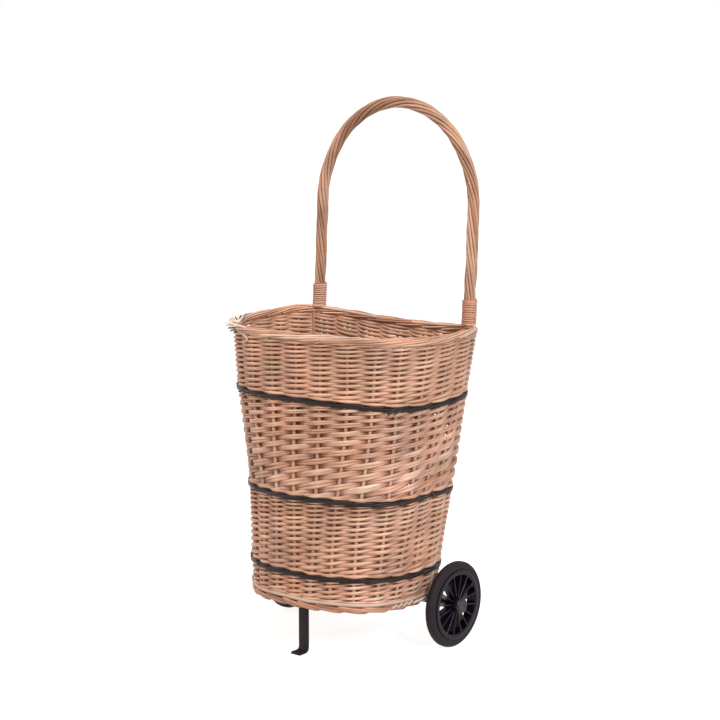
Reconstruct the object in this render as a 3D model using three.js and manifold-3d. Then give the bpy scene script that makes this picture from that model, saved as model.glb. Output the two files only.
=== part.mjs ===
// A wicker shopping trolley: a tall willow basket with an arched handle, carried on two
// free-spinning wheels and a bent steel stand at the front.
// Millimetres, +Z up, -Y is the front, +X is the right-hand side seen from the front.
// While the pieces are made, the origin is on the ground under the middle of the axle; the
// last step centres the whole trolley on its bounding box.

import * as THREE from 'three';
import { mergeVertices } from 'three/addons/utils/BufferGeometryUtils.js';
import Module from 'manifold-3d';

const wasm = await Module();
wasm.setup();

// ---- Driving dimensions ---------------------------------------------------------------

const gap = 0.3; // between pieces that touch
const overcut = 1; // how far a cutting shape runs past the faces it cuts

// Wheels and axle
const wheelRadius = 75;
const tyreWidth = 20;
const tyreDepth = 15; // from the tread down to the rim's seat
const tyreSides = 40;
const treadShare = 0.45; // width of the flat tread, as a share of the tyre's
const shoulderDrop = 3.75; // from the tread down to the shoulder
const shoulderShare = 0.92;
const beadShare = 0.8;
const wallRise = 5.25; // from the bead up to the tyre's widest place
const rimDepth = 7; // radial height of the rim ring
const rimWidth = 22;
const rimSides = 32;
const finCount = 16;
const finThickness = 1.8;
const finWidth = 15;
const finRoot = 2; // how far the fins reach into the hub
const hubRadius = 12;
const hubInner = 19; // hub length from the wheel's middle plane towards the basket
const hubOuter = 11;
const wheelClearance = 9; // from the basket's widest place to the tyre
const axleRadius = 5;
const axleSides = 16;
const runningGap = 0.4; // between the axle and what turns on it
const boreSides = 20;
const capRadius = 14;
const capThickness = 3;
const capSkirt = 5; // how far the cap's cup reaches over the axle's end
const capTaper = 1; // the skirt is this much smaller at its mouth
const capEdge = 2; // width of the bevel round the cap's face
const spacerRadius = 8.5;

// Steelwork
const steelThickness = 4;
const bracketWidth = 28;
const bracketInset = 6; // from the foot border's inner face to the bracket's ear
const earDrop = 11; // below the axle's centre line
const standWidth = 20;
const standSetback = 35; // from the basket's front at the foot to the leg's front face
const standFoot = 21; // length of the foot ahead of the leg
const standBend = 5; // inner radius of the bends
const bendSteps = 4;

// Basket: its outline at the foot, measured from the axle, and how much each stretch of wall
// adds to it: the stretches end at the low, middle and top dark bands and at the rim border
const footHeight = 13; // of the foot border's underside above the axle's centre line
const footHalfWidth = 155.5;
const footFront = 223;
const footBack = 40;
const lowStretch = 50;
const lowFlare = 6.5; // to each side
const lowFrontFlare = -3;
const lowBackFlare = 5;
const middleStretch = 134;
const middleFlare = 13;
const middleFrontFlare = -7;
const middleBackFlare = 9;
const topStretch = 164;
const topFlare = 24.5;
const topFrontFlare = -1;
const topBackFlare = 12;
const rimStretch = 102;
const rimFlare = 11.5;
const rimFrontFlare = 1;
const rimBackFlare = 9.5;
const widestShare = 0.54; // where the basket is widest, as a share of its depth from the front
const frontPower = { foot: 2.3, rim: 2.7 }; // superellipse powers: 2 is an ellipse, more is squarer
const backPower = { foot: 3.7, rim: 4.3 };
const wallThickness = 14;
const footBorderHeight = 12;
const caneRowHeight = 6;
const darkBandHeight = 12;
const rimBorderHeight = 18;
const borderProud = 2; // how far the rim border stands out on both sides of the wall
const borderChamfer = 4;
const stakeCount = 24;
const stakeRadius = 3.2;
const stakeSides = 4;
const stakeCover = 0.9; // wall left over a stake where the weave draws in behind it
const rodThickness = 5; // of the wall halfway between stakes, where the woven rods cross
const courseHeight = 11; // of a course of the weave, which passes the stakes in and out in turn
const outlineSteps = 36;

// Basket floor
const floorRecess = 6; // from the foot border's underside up to the floor
const floorThickness = 10;
const stickRadius = 3.4;
const stickSpacing = 62;
const stickSides = 6;

// Handle
const coreRadius = 5;
const coreSides = 8;
const wrapRadius = 10.5;
const wrapSides = 12;
const legShare = 0.375; // how far round the wall, from the front, the legs stand beside a stake
const legClearance = 1.9; // between that stake and the leg
const legRise = 190; // straight part above the rim
const archRise = 180; // from the top of the straight part to the top of the arch
const archSteps = 26;
const handleLean = THREE.MathUtils.degToRad(3.4);
const whippingHeight = 42;
const whippingThickness = 2.4;
const whippingSides = 16;

// Fasteners
const boltRadius = 3;
const boltSides = 12;
const boltHeadRadius = 10;
const boltHeadHeight = 3.5;
const boltTail = 3; // thread showing below the nut
const nutRadius = 6.4;
const nutHeight = 5;
const nutSides = 6;
const rearBoltInset = 26.5; // from the bracket's ear in to the rear bolt

// ---- Places worked out from them ------------------------------------------------------

const axleZ = wheelRadius;
const footZ = axleZ + footHeight;
const lowBandZ = footZ + lowStretch;
const middleBandZ = lowBandZ + middleStretch;
const topBandZ = middleBandZ + topStretch;
const rimZ = topBandZ + rimStretch;
const rimTopZ = rimZ + rimBorderHeight;
const stakeFootZ = footZ + footBorderHeight + gap;
const stakeTopZ = rimZ - gap;
const floorZ = footZ + floorRecess;
const floorTopZ = floorZ + floorThickness;
const steelTopZ = floorZ - gap;
const steelZ = steelTopZ - steelThickness;

/** The outline at the top of a stretch of wall, from the outline at its foot. */
function flared(below, stretch, flare, frontFlare, backFlare) {
  return {
    z: below.z + stretch,
    halfWidth: below.halfWidth + flare,
    frontY: below.frontY - frontFlare,
    backY: below.backY + backFlare,
  };
}

const footLevel = { z: footZ, halfWidth: footHalfWidth, frontY: -footFront, backY: footBack };
const lowLevel = flared(footLevel, lowStretch, lowFlare, lowFrontFlare, lowBackFlare);
const middleLevel = flared(lowLevel, middleStretch, middleFlare, middleFrontFlare, middleBackFlare);
const topLevel = flared(middleLevel, topStretch, topFlare, topFrontFlare, topBackFlare);
const rimLevel = flared(topLevel, rimStretch, rimFlare, rimFrontFlare, rimBackFlare);
const levels = [footLevel, lowLevel, middleLevel, topLevel, rimLevel];

// ---- Materials ------------------------------------------------------------------------

function finish(color, roughness, metalness = 0) {
  return new THREE.MeshStandardMaterial({ color, roughness, metalness });
}

const willow = () => finish(0xc79c79, 0.6);
const willowHandle = () => finish(0xc9976a, 0.5);
const darkWillow = () => finish(0x2f2524, 0.55);
const paleCane = () => finish(0xe3cdbb, 0.5);
const blackSteel = () => finish(0x2a2627, 0.45, 0.6);
const zincSteel = () => finish(0x8d8f92, 0.4, 0.9);
const wheelRubber = () => finish(0x2b2829, 0.75);
const wheelPlastic = () => finish(0x18171c, 0.35);
const capPlastic = () => finish(0x3c3231, 0.5);

// ---- Solids ---------------------------------------------------------------------------

/** A closed BufferGeometry as a manifold solid. */
function solid(geometry) {
  const bare = geometry.index ? geometry.clone() : geometry;
  bare.deleteAttribute('normal');
  bare.deleteAttribute('uv');
  const merged = mergeVertices(bare, 1e-4);
  return new wasm.Manifold(new wasm.Mesh({
    numProp: 3,
    vertProperties: new Float32Array(merged.attributes.position.array),
    triVerts: new Uint32Array(merged.index.array),
  }));
}

/** A manifold solid back as a BufferGeometry. */
function geometryOf(manifold) {
  const mesh = manifold.getMesh();
  const geometry = new THREE.BufferGeometry();
  geometry.setAttribute('position', new THREE.BufferAttribute(mesh.vertProperties, 3));
  geometry.setIndex(new THREE.BufferAttribute(mesh.triVerts, 1));
  geometry.computeVertexNormals();
  return geometry;
}

/** A closed solid through loops of points, each anticlockwise seen from the last loop's end. */
function loft(loops) {
  const count = loops[0].length;
  const points = loops.flat();
  const triangles = [];
  for (let level = 0; level < loops.length - 1; level += 1) {
    for (let i = 0; i < count; i += 1) {
      const a = level * count + i;
      const b = level * count + (i + 1) % count;
      triangles.push(a, b, b + count, a, b + count, a + count);
    }
  }
  const middle = (loop) => loop.reduce((sum, p) => sum.add(p), new THREE.Vector3()).divideScalar(count);
  const bottom = points.push(middle(loops[0])) - 1;
  const top = points.push(middle(loops.at(-1))) - 1;
  const last = (loops.length - 1) * count;
  for (let i = 0; i < count; i += 1) {
    const next = (i + 1) % count;
    triangles.push(bottom, next, i, top, last + i, last + next);
  }
  const geometry = new THREE.BufferGeometry().setFromPoints(points);
  geometry.setIndex(triangles);
  return solid(geometry);
}

/** A circle's points round a centre, in the plane of the vectors u and v. */
function circleLoop(centre, u, v, radius, sides) {
  return Array.from({ length: sides }, (_, i) => {
    const angle = (i + 0.5) * 2 * Math.PI / sides;
    return centre.clone()
      .addScaledVector(u, radius * Math.cos(angle))
      .addScaledVector(v, radius * Math.sin(angle));
  });
}

/** A turned solid about the X axis from its half section, listed as [x, radius]. */
function turned(section, sides) {
  const profile = section.map(([x, radius]) => new THREE.Vector2(radius, x));
  return solid(new THREE.LatheGeometry(profile, sides).rotateZ(-Math.PI / 2));
}

/** A cylinder between two heights, standing at x and y. */
function upright(x, y, bottomZ, topZ, radius, sides) {
  const height = topZ - bottomZ;
  const cylinder = new THREE.CylinderGeometry(radius, radius, height, sides);
  return solid(cylinder.rotateX(Math.PI / 2).translate(x, y, (bottomZ + topZ) / 2));
}

/** The half section of a plain rod along X. */
function rodSection(fromX, toX, radius) {
  return [[fromX, 0], [fromX, radius], [toX, radius], [toX, 0]];
}

/** A cylinder along X, between two places on the axle's line. */
function onAxle(fromX, toX, radius, sides) {
  return turned(rodSection(fromX, toX, radius), sides).translate([0, 0, axleZ]);
}

/** The radius that a polygon's corners need for its flats to clear a round of this radius. */
function aroundFlats(radius, sides) {
  return radius / Math.cos(Math.PI / sides);
}

// ---- The basket's wall ----------------------------------------------------------------

/** The outline's sizes at a height, straight from level to level and on past the top one. */
function sectionAt(z) {
  const above = levels.findIndex((level) => level.z > z);
  const upper = above < 0 ? levels.length - 1 : Math.max(above, 1);
  const [low, high] = [levels[upper - 1], levels[upper]];
  const share = (z - low.z) / (high.z - low.z);
  const between = (name) => THREE.MathUtils.lerp(low[name], high[name], share);
  const whole = (z - footZ) / (rimZ - footZ);
  const frontY = between('frontY');
  const backY = between('backY');
  return {
    halfWidth: between('halfWidth'),
    frontY,
    backY,
    middleY: THREE.MathUtils.lerp(frontY, backY, widestShare),
    frontPower: THREE.MathUtils.lerp(frontPower.foot, frontPower.rim, whole),
    backPower: THREE.MathUtils.lerp(backPower.foot, backPower.rim, whole),
  };
}

/** A point of the outline at a height, moved inwards by the inset; angle 0 is +X, 90 degrees +Y. */
function wallPoint(z, inset, angle) {
  const { halfWidth, frontY, backY, middleY, frontPower: front, backPower: back } = sectionAt(z);
  const [cos, sin] = [Math.cos(angle), Math.sin(angle)];
  const power = 2 / (sin < 0 ? front : back);
  const reach = (sin < 0 ? middleY - frontY : backY - middleY) - inset;
  return new THREE.Vector3(
    (halfWidth - inset) * Math.sign(cos) * Math.abs(cos) ** power,
    middleY + reach * Math.sign(sin) * Math.abs(sin) ** power,
    z,
  );
}

/** Angles that step evenly along the outline at the middle band, from the middle of the front. */
function evenAngles(count) {
  const samples = 2880;
  const angleOf = (i) => -Math.PI / 2 + i * 2 * Math.PI / samples;
  const along = [0];
  let last = wallPoint(middleBandZ, 0, angleOf(0));
  for (let i = 1; i <= samples; i += 1) {
    const next = wallPoint(middleBandZ, 0, angleOf(i));
    along.push(along[i - 1] + next.distanceTo(last));
    last = next;
  }
  return Array.from({ length: count }, (_, k) => {
    const target = along[samples] * k / count;
    const i = along.findIndex((length) => length > target) - 1;
    const share = (target - along[i]) / (along[i + 1] - along[i]);
    return angleOf(i + share);
  });
}

const outlineAngles = evenAngles(outlineSteps);

/** The wall's outline at a height as one closed loop. */
function wallLoop(z, inset) {
  return outlineAngles.map((angle) => wallPoint(z, inset, angle));
}

/** A border ring with chamfered edges, standing proud of the wall on both sides. */
function borderRing(bottomZ, topZ, proud) {
  const outline = [
    [bottomZ, borderChamfer - proud],
    [bottomZ + borderChamfer, -proud],
    [topZ - borderChamfer, -proud],
    [topZ, borderChamfer - proud],
  ];
  const outer = loft(outline.map(([z, inset]) => wallLoop(z, inset)));
  const hollow = outline.map(([z, inset]) => [z, wallThickness - inset]);
  hollow.unshift([bottomZ - overcut, hollow[0][1]]);
  hollow.push([topZ + overcut, hollow.at(-1)[1]]);
  return outer.subtract(loft(hollow.map(([z, inset]) => wallLoop(z, inset))));
}

const stakeAngles = evenAngles(stakeCount);
const legStake = Math.round(legShare * stakeCount);
const legSpacing = stakeRadius + coreRadius + legClearance;
const stakeRods = stakeAngles.map((angle) => ({ angle, shift: 0 }));
const legRods = {
  left: { angle: stakeAngles[stakeCount - legStake], shift: legSpacing },
  right: { angle: stakeAngles[legStake], shift: -legSpacing },
};

/** Where a rod stands in the middle of the wall, and the directions along and into the wall. */
function rodPlace(z, { angle, shift }) {
  const onStake = wallPoint(z, wallThickness / 2, angle);
  const nearby = angle + 0.01;
  const along = wallPoint(z, wallThickness / 2, nearby).sub(onStake).normalize();
  const inwards = new THREE.Vector3(-along.y, along.x, 0);
  return { centre: onStake.addScaledVector(along, shift), along, inwards };
}

/** The level section of a rod that stands in the middle of the wall. */
function rodLoop(z, rod, radius, sides) {
  const { centre, along, inwards } = rodPlace(z, rod);
  return circleLoop(centre, along, inwards, radius, sides);
}

/** A rod in the middle of the wall, following its slope from level to level. */
function wallRod(rod, radius, sides, bottomZ, topZ) {
  const bends = [lowBandZ, middleBandZ, topBandZ, rimZ].filter((z) => z > bottomZ && z < topZ);
  return loft([bottomZ, ...bends, topZ].map((z) => rodLoop(z, rod, radius, sides)));
}

// The handle's legs stand in the back corners, on the wall's middle line.
const { x: legX, y: legY } = rodPlace(rimTopZ, legRods.right).centre;

const stakeChannel = stakeRadius + aroundFlats(gap, stakeSides);
const legChannel = aroundFlats(coreRadius + gap, coreSides);

/** A smooth stretch of wall at a height: its outer and its inner face. */
function plainFaces(z) {
  return [wallLoop(z, 0), wallLoop(z, wallThickness)];
}

// The weave has a column at each stake and one halfway to the next.
const columnAngles = evenAngles(2 * stakeCount);
const stakeFlat = stakeRadius * Math.cos(Math.PI / stakeSides) + gap;
const weaveTuck = wallThickness / 2 - stakeFlat - stakeCover;
const weaveHollow = (wallThickness - rodThickness) / 2;
const legColumns = [
  2 * legStake - 1,
  2 * legStake,
  2 * (stakeCount - legStake),
  2 * (stakeCount - legStake) + 1,
];

/** How far the weave draws in from the wall's outer and inner face at one column of a course. */
function weaveInsets(column, course) {
  if (legColumns.includes(column)) return [0, 0];
  if (column % 2 === 1) return [weaveHollow, weaveHollow];
  const inFront = (column / 2 + course) % 2 === 0;
  return inFront ? [0, weaveTuck] : [weaveTuck, 0];
}

/** A woven stretch of wall at the height of one course: its outer and its inner face. */
function wovenFaces(z, course) {
  const insets = columnAngles.map((_, column) => weaveInsets(column, course));
  return [
    columnAngles.map((angle, column) => wallPoint(z, insets[column][0], angle)),
    columnAngles.map((angle, column) => wallPoint(z, wallThickness - insets[column][1], angle)),
  ];
}

/** The channel round one rod, as its loops at the ends of a ring. */
function channelLoops(rod, radius, sides, bottomZ, topZ) {
  return [bottomZ, topZ].map((z) => rodLoop(z, rod, radius, sides));
}

/** A ring of the wall between two heights, with a channel for each stake and handle leg. */
function wallRing(bottomZ, topZ, facesAt, courses = 1) {
  const rows = Array.from({ length: courses + 1 }, (_, course) => (
    facesAt(THREE.MathUtils.lerp(bottomZ, topZ, course / courses), course)
  ));
  const stacks = [
    rows.map(([outer]) => outer),
    rows.map(([, inner]) => inner),
    ...stakeRods.map((rod) => channelLoops(rod, stakeChannel, stakeSides, bottomZ, topZ)),
    ...Object.values(legRods).map((rod) => channelLoops(rod, legChannel, coreSides, bottomZ, topZ)),
  ];
  const points = [];
  const triangles = [];
  const ends = { bottom: [], top: [] };
  stacks.forEach((loops, stack) => {
    const count = loops[0].length;
    const first = points.length;
    points.push(...loops.flat());
    for (let level = 0; level < loops.length - 1; level += 1) {
      for (let i = 0; i < count; i += 1) {
        const a = first + level * count + i;
        const b = first + level * count + (i + 1) % count;
        const quad = [a, b, b + count, a, b + count, a + count];
        triangles.push(...(stack === 0 ? quad : quad.reverse()));
      }
    }
    const indices = Array.from({ length: count }, (_, i) => first + i);
    ends.bottom.push(indices);
    ends.top.push(indices.map((index) => index + (loops.length - 1) * count));
  });
  for (const [end, loops] of Object.entries(ends)) {
    const [outer, ...holes] = loops.map((loop) => (
      loop.map((index) => new THREE.Vector2(points[index].x, points[index].y))
    ));
    const corners = loops.flat();
    for (const face of THREE.ShapeUtils.triangulateShape(outer, holes)) {
      const triangle = face.map((corner) => corners[corner]);
      triangles.push(...(end === 'top' ? triangle : triangle.reverse()));
    }
  }
  const geometry = new THREE.BufferGeometry().setFromPoints(points);
  geometry.setIndex(triangles);
  return solid(geometry);
}

// ---- The trolley ----------------------------------------------------------------------

const trolley = new THREE.Group();
const assembly = new THREE.Group();
trolley.add(assembly);

function place(name, shape, material, parent = assembly) {
  const mesh = new THREE.Mesh(geometryOf(shape), material);
  mesh.name = name;
  parent.add(mesh);
}

// ---- Woven basket ---------------------------------------------------------------------

function addWall() {
  const caneZ = footZ + footBorderHeight;
  const rows = [
    ['pale_cane_row', caneZ, caneZ + caneRowHeight, paleCane],
    ['dark_band_low', lowBandZ, lowBandZ + darkBandHeight, darkWillow],
    ['dark_band_middle', middleBandZ, middleBandZ + darkBandHeight, darkWillow],
    ['dark_band_top', topBandZ, topBandZ + darkBandHeight, darkWillow],
  ];
  for (const [name, bottomZ, topZ, material] of rows) {
    place(name, wallRing(bottomZ + gap / 2, topZ - gap / 2, plainFaces), material());
  }
  const sidings = [
    ['siding_foot', caneZ + caneRowHeight, lowBandZ],
    ['siding_lower', lowBandZ + darkBandHeight, middleBandZ],
    ['siding_upper', middleBandZ + darkBandHeight, topBandZ],
    ['siding_rim', topBandZ + darkBandHeight, rimZ],
  ];
  for (const [name, bottomZ, topZ] of sidings) {
    const courses = Math.round((topZ - bottomZ) / courseHeight);
    place(name, wallRing(bottomZ + gap / 2, topZ - gap / 2, wovenFaces, courses), willow());
  }
}

function addStakes() {
  stakeRods.forEach((rod, i) => {
    const name = `stake_${String(i + 1).padStart(2, '0')}`;
    place(name, wallRod(rod, stakeRadius, stakeSides, stakeFootZ, stakeTopZ), willow());
  });
}

function addBorders() {
  const legHoles = Object.values(legRods).map((rod) => (
    wallRod(rod, legChannel, coreSides, rimZ - overcut, rimTopZ + overcut)
  ));
  const rim = borderRing(rimZ + gap / 2, rimTopZ, borderProud);
  place('rim_border', rim.subtract(wasm.Manifold.union(legHoles)), willow());
  place('foot_border', borderRing(footZ, footZ + footBorderHeight - gap / 2, 0), willow());
}

// ---- Floor, fasteners and steelwork ---------------------------------------------------

const floorInset = wallThickness + gap;
const floorSection = sectionAt(floorZ);
const floorMiddleY = (floorSection.frontY + floorSection.backY) / 2;
const stickYs = {
  front: floorMiddleY - stickSpacing,
  middle: floorMiddleY,
  back: floorMiddleY + stickSpacing,
};
const frontBoltY = (stickYs.front + stickYs.middle) / 2;
// The bracket's ears stand inside the foot border.
const earX = floorHalfWidth(bracketWidth / 2, wallThickness) - bracketInset;
const rearBoltX = earX - rearBoltInset;
const bolts = [
  { side: 'left', x: -rearBoltX, y: 0 },
  { side: 'right', x: rearBoltX, y: 0 },
  { side: 'front', x: 0, y: frontBoltY },
];

const boltHoleRadius = aroundFlats(boltRadius + gap, boltSides);

function boltHoles() {
  return wasm.Manifold.union(bolts.map(({ x, y }) => (
    upright(x, y, steelZ - overcut, floorTopZ + overcut, boltHoleRadius, boltSides)
  )));
}

/** Half the floor's width along a line at this y, at the height of the sticks. */
function floorHalfWidth(y, inset) {
  const z = floorZ + floorThickness / 2;
  const { halfWidth, frontY, backY, middleY, frontPower: front, backPower: back } = sectionAt(z);
  const power = y < middleY ? front : back;
  const reach = (y < middleY ? middleY - frontY : backY - middleY) - inset;
  return (halfWidth - inset) * (1 - (Math.abs(y - middleY) / reach) ** power) ** (1 / power);
}

function floorStick(y, radius, extra) {
  const z = floorZ + floorThickness / 2;
  const reach = floorHalfWidth(y, floorInset + stickRadius) + extra;
  return turned(rodSection(-reach, reach, radius), stickSides).translate([0, y, z]);
}

function addFloor() {
  let weave = loft([wallLoop(floorZ, floorInset), wallLoop(floorTopZ, floorInset)]);
  const grownRadius = stickRadius + aroundFlats(gap, stickSides);
  for (const [row, y] of Object.entries(stickYs)) {
    weave = weave.subtract(floorStick(y, grownRadius, wallThickness));
    place(`floor_stick_${row}`, floorStick(y, stickRadius, 0), willow());
  }
  place('floor_weave', weave.subtract(boltHoles()), willow());
}

function addFasteners() {
  const headZ = floorTopZ + gap;
  const nutTopZ = steelZ - gap;
  const nutFootZ = nutTopZ - nutHeight;
  for (const { side, x, y } of bolts) {
    const head = upright(x, y, headZ, headZ + boltHeadHeight, boltHeadRadius, boltSides);
    const shank = upright(x, y, nutFootZ - boltTail, headZ + boltHeadHeight / 2, boltRadius, boltSides);
    place(`floor_bolt_${side}`, head.add(shank), zincSteel());
    const hole = upright(x, y, nutFootZ - overcut, nutTopZ + overcut, boltHoleRadius, boltSides);
    const nut = upright(x, y, nutFootZ, nutTopZ, nutRadius, nutSides).subtract(hole);
    place(`floor_nut_${side}`, nut, zincSteel());
  }
}

/** A flat outline drawn in Y and Z, as a plate of some width centred on X = 0. */
function plateAcross(outline, width) {
  const shape = new THREE.Shape(outline.map(([y, z]) => new THREE.Vector2(y, z)));
  const plate = new THREE.ExtrudeGeometry(shape, { depth: width, bevelEnabled: false });
  plate.rotateY(Math.PI / 2).rotateX(Math.PI / 2).translate(-width / 2, 0, 0);
  return solid(plate);
}

/** The outline of a bent strip whose middle line runs through the corners, with round bends. */
function stripOutline(corners, thickness, bendRadius) {
  const half = thickness / 2;
  const middleRadius = bendRadius + half;
  const sides = [[], []];
  const put = (point, across) => {
    sides[0].push(point.clone().addScaledVector(across, half).toArray());
    sides[1].unshift(point.clone().addScaledVector(across, -half).toArray());
  };
  const points = corners.map(([y, z]) => new THREE.Vector2(y, z));
  const across = (direction) => new THREE.Vector2(-direction.y, direction.x);
  const heading = (i) => points[i + 1].clone().sub(points[i]).normalize();
  put(points[0], across(heading(0)));
  for (let i = 1; i < points.length - 1; i += 1) {
    const [before, after] = [heading(i - 1), heading(i)];
    const turn = Math.atan2(before.cross(after), before.dot(after));
    const start = points[i].clone().addScaledVector(before, -middleRadius * Math.tan(Math.abs(turn) / 2));
    const centre = start.clone().addScaledVector(across(before), Math.sign(turn) * middleRadius);
    for (let k = 0; k <= bendSteps; k += 1) {
      const point = start.clone().rotateAround(centre, turn * k / bendSteps);
      put(point, across(before).rotateAround(new THREE.Vector2(), turn * k / bendSteps));
    }
  }
  put(points.at(-1), across(heading(points.length - 2)));
  return [...sides[0], ...sides[1]];
}

const plateZ = steelZ + steelThickness / 2;

function addBracket() {
  const earFootZ = axleZ - earDrop;
  const strip = stripOutline(
    [[-earX, earFootZ], [-earX, plateZ], [earX, plateZ], [earX, earFootZ]],
    steelThickness,
    standBend,
  );
  const shape = new THREE.Shape(strip.map(([x, z]) => new THREE.Vector2(x, z)));
  const channel = new THREE.ExtrudeGeometry(shape, { depth: bracketWidth, bevelEnabled: false });
  channel.rotateX(Math.PI / 2).translate(0, bracketWidth / 2, 0);
  const holeEnd = earX + steelThickness;
  const axleHole = onAxle(-holeEnd, holeEnd, aroundFlats(axleRadius + gap, axleSides), axleSides);
  place('axle_bracket', solid(channel).subtract(axleHole).subtract(boltHoles()), blackSteel());
}

function addStand() {
  const legFrontY = sectionAt(footZ).frontY + standSetback;
  const legMiddleY = legFrontY + steelThickness / 2;
  const footMiddleZ = steelThickness / 2;
  const strip = stripOutline(
    [
      [-bracketWidth / 2 - gap, plateZ],
      [legMiddleY, plateZ],
      [legMiddleY, footMiddleZ],
      [legFrontY - standFoot, footMiddleZ],
    ],
    steelThickness,
    standBend,
  );
  place('stand_bar', plateAcross(strip, standWidth).subtract(boltHoles()), blackSteel());
}

// ---- Wheels ---------------------------------------------------------------------------

const wheelTopZ = 2 * wheelRadius;
const wheelX = sectionAt(wheelTopZ).halfWidth + wheelClearance + tyreWidth / 2;
const seatRadius = wheelRadius - tyreDepth;
const boreRadius = aroundFlats(axleRadius + runningGap, boreSides);
const capX = hubOuter + gap;

function tyreShape() {
  const half = tyreWidth / 2;
  const inner = seatRadius + gap;
  const outside = [
    [half * beadShare, inner],
    [half, inner + wallRise],
    [half * shoulderShare, wheelRadius - shoulderDrop],
    [half * treadShare, wheelRadius],
  ];
  const inside = outside.map(([x, radius]) => [-x, radius]);
  return turned([...inside, ...outside.reverse(), inside[0]], tyreSides);
}

function wheelShape() {
  const half = rimWidth / 2;
  const rim = turned([
    [-half, seatRadius - rimDepth],
    [-half, seatRadius],
    [half, seatRadius],
    [half, seatRadius - rimDepth],
    [-half, seatRadius - rimDepth],
  ], rimSides);
  const hub = turned(rodSection(-hubInner, hubOuter, hubRadius), boreSides);
  const finFoot = hubRadius - finRoot;
  const finLength = seatRadius - rimDepth / 2 - finFoot;
  const fins = Array.from({ length: finCount }, (_, i) => {
    const box = new THREE.BoxGeometry(finWidth, finThickness, finLength);
    box.translate(0, 0, finFoot + finLength / 2).rotateX((i + 0.5) * 2 * Math.PI / finCount);
    return solid(box);
  });
  const bore = turned(rodSection(-hubInner - overcut, hubOuter + overcut, boreRadius), boreSides);
  return wasm.Manifold.union([rim, hub, ...fins]).subtract(bore);
}

function capShape() {
  const cupRadius = aroundFlats(axleRadius + gap, boreSides);
  const cupEndX = capX + capSkirt;
  return turned([
    [capX, cupRadius],
    [capX, capRadius - capTaper],
    [cupEndX, capRadius],
    [cupEndX + capThickness / 2, capRadius - capEdge],
    [cupEndX + capThickness, 0],
    [cupEndX, 0],
    [cupEndX, cupRadius],
    [capX, cupRadius],
  ], boreSides);
}

function addWheels() {
  const earFaceX = earX + steelThickness / 2 + gap;
  const spacerEndX = wheelX - hubInner - gap;
  for (const [side, turn] of [['left', Math.PI], ['right', 0]]) {
    const group = new THREE.Group();
    group.position.set(Math.cos(turn) * wheelX, 0, axleZ);
    group.rotation.z = turn;
    assembly.add(group);
    place(`tyre_${side}`, tyreShape(), wheelRubber(), group);
    place(`wheel_${side}`, wheelShape(), wheelPlastic(), group);
    place(`axle_cap_${side}`, capShape(), capPlastic(), group);
    const spacer = turned([
      [earFaceX - wheelX, boreRadius],
      [earFaceX - wheelX, spacerRadius],
      [spacerEndX - wheelX, spacerRadius],
      [spacerEndX - wheelX, boreRadius],
      [earFaceX - wheelX, boreRadius],
    ], boreSides);
    place(`axle_spacer_${side}`, spacer, wheelPlastic(), group);
  }
  const axleEnd = wheelX + capX + capSkirt - gap;
  place('axle', onAxle(-axleEnd, axleEnd, axleRadius, axleSides), zincSteel());
}

// ---- Handle ---------------------------------------------------------------------------

/** Places along the handle above the rim: centre and the two directions of its cross-section. */
function archStations() {
  const level = new THREE.Vector3(0, 1, 0);
  const back = new THREE.Vector3(0, Math.cos(handleLean), -Math.sin(handleLean));
  const at = (x, rise) => new THREE.Vector3(x, legY + rise * Math.tan(handleLean), rimTopZ + gap + rise);
  const stations = [{ centre: at(-legX, 0), outwards: new THREE.Vector3(-1, 0, 0), back: level }];
  for (let i = 0; i <= archSteps; i += 1) {
    const angle = Math.PI - i * Math.PI / archSteps;
    const centre = at(legX * Math.cos(angle), legRise + archRise * Math.sin(angle));
    const outwards = new THREE.Vector3(
      archRise * Math.cos(angle),
      legX * Math.sin(angle) * Math.sin(handleLean),
      legX * Math.sin(angle) * Math.cos(handleLean),
    ).normalize();
    stations.push({ centre, outwards, back });
  }
  stations.push({ centre: at(legX, 0), outwards: new THREE.Vector3(1, 0, 0), back: level });
  return stations;
}

function archSolid(radius, sides, stations) {
  return loft(stations.map(({ centre, outwards, back }) => (
    circleLoop(centre, back, outwards, radius, sides)
  )));
}

/** The collar of wound cane round the foot of a handle leg. */
function whippingShape(foot) {
  const lean = new THREE.Vector3(0, Math.tan(handleLean), 1);
  const across = new THREE.Vector3(1, 0, 0);
  const back = new THREE.Vector3(0, 1, 0);
  const tube = (radius, from, to) => loft([from, to].map((height) => (
    circleLoop(foot.clone().addScaledVector(lean, height), across, back, radius, whippingSides)
  )));
  const innerRadius = aroundFlats(wrapRadius + gap, whippingSides);
  const outer = tube(innerRadius + whippingThickness, 0, whippingHeight);
  return outer.subtract(tube(innerRadius, -overcut, whippingHeight + overcut));
}

function addHandle() {
  const stations = archStations();
  const wallLevels = [stakeFootZ, lowBandZ, middleBandZ, topBandZ, rimZ];
  const across = { left: new THREE.Vector3(-1, 0, 0), right: new THREE.Vector3(1, 0, 0) };
  const inWall = (side) => wallLevels.map((z) => ({
    centre: rodPlace(z, legRods[side]).centre,
    outwards: across[side],
    back: new THREE.Vector3(0, 1, 0),
  }));
  const whole = [...inWall('left'), ...stations, ...inWall('right').reverse()];
  place('handle_core', archSolid(coreRadius, coreSides, whole), willowHandle());

  const lowered = (station) => ({ ...station, centre: station.centre.clone().setZ(rimTopZ - overcut) });
  const past = [lowered(stations[0]), ...stations, lowered(stations.at(-1))];
  const wrap = archSolid(wrapRadius, wrapSides, stations);
  place('handle_wrap', wrap.subtract(archSolid(legChannel, coreSides, past)), willowHandle());

  for (const [side, station] of [['left', stations[0]], ['right', stations.at(-1)]]) {
    place(`whipping_${side}`, whippingShape(station.centre), willow());
  }
}

addWall();
addStakes();
addBorders();
addFloor();
addFasteners();
addBracket();
addStand();
addWheels();
addHandle();

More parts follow.
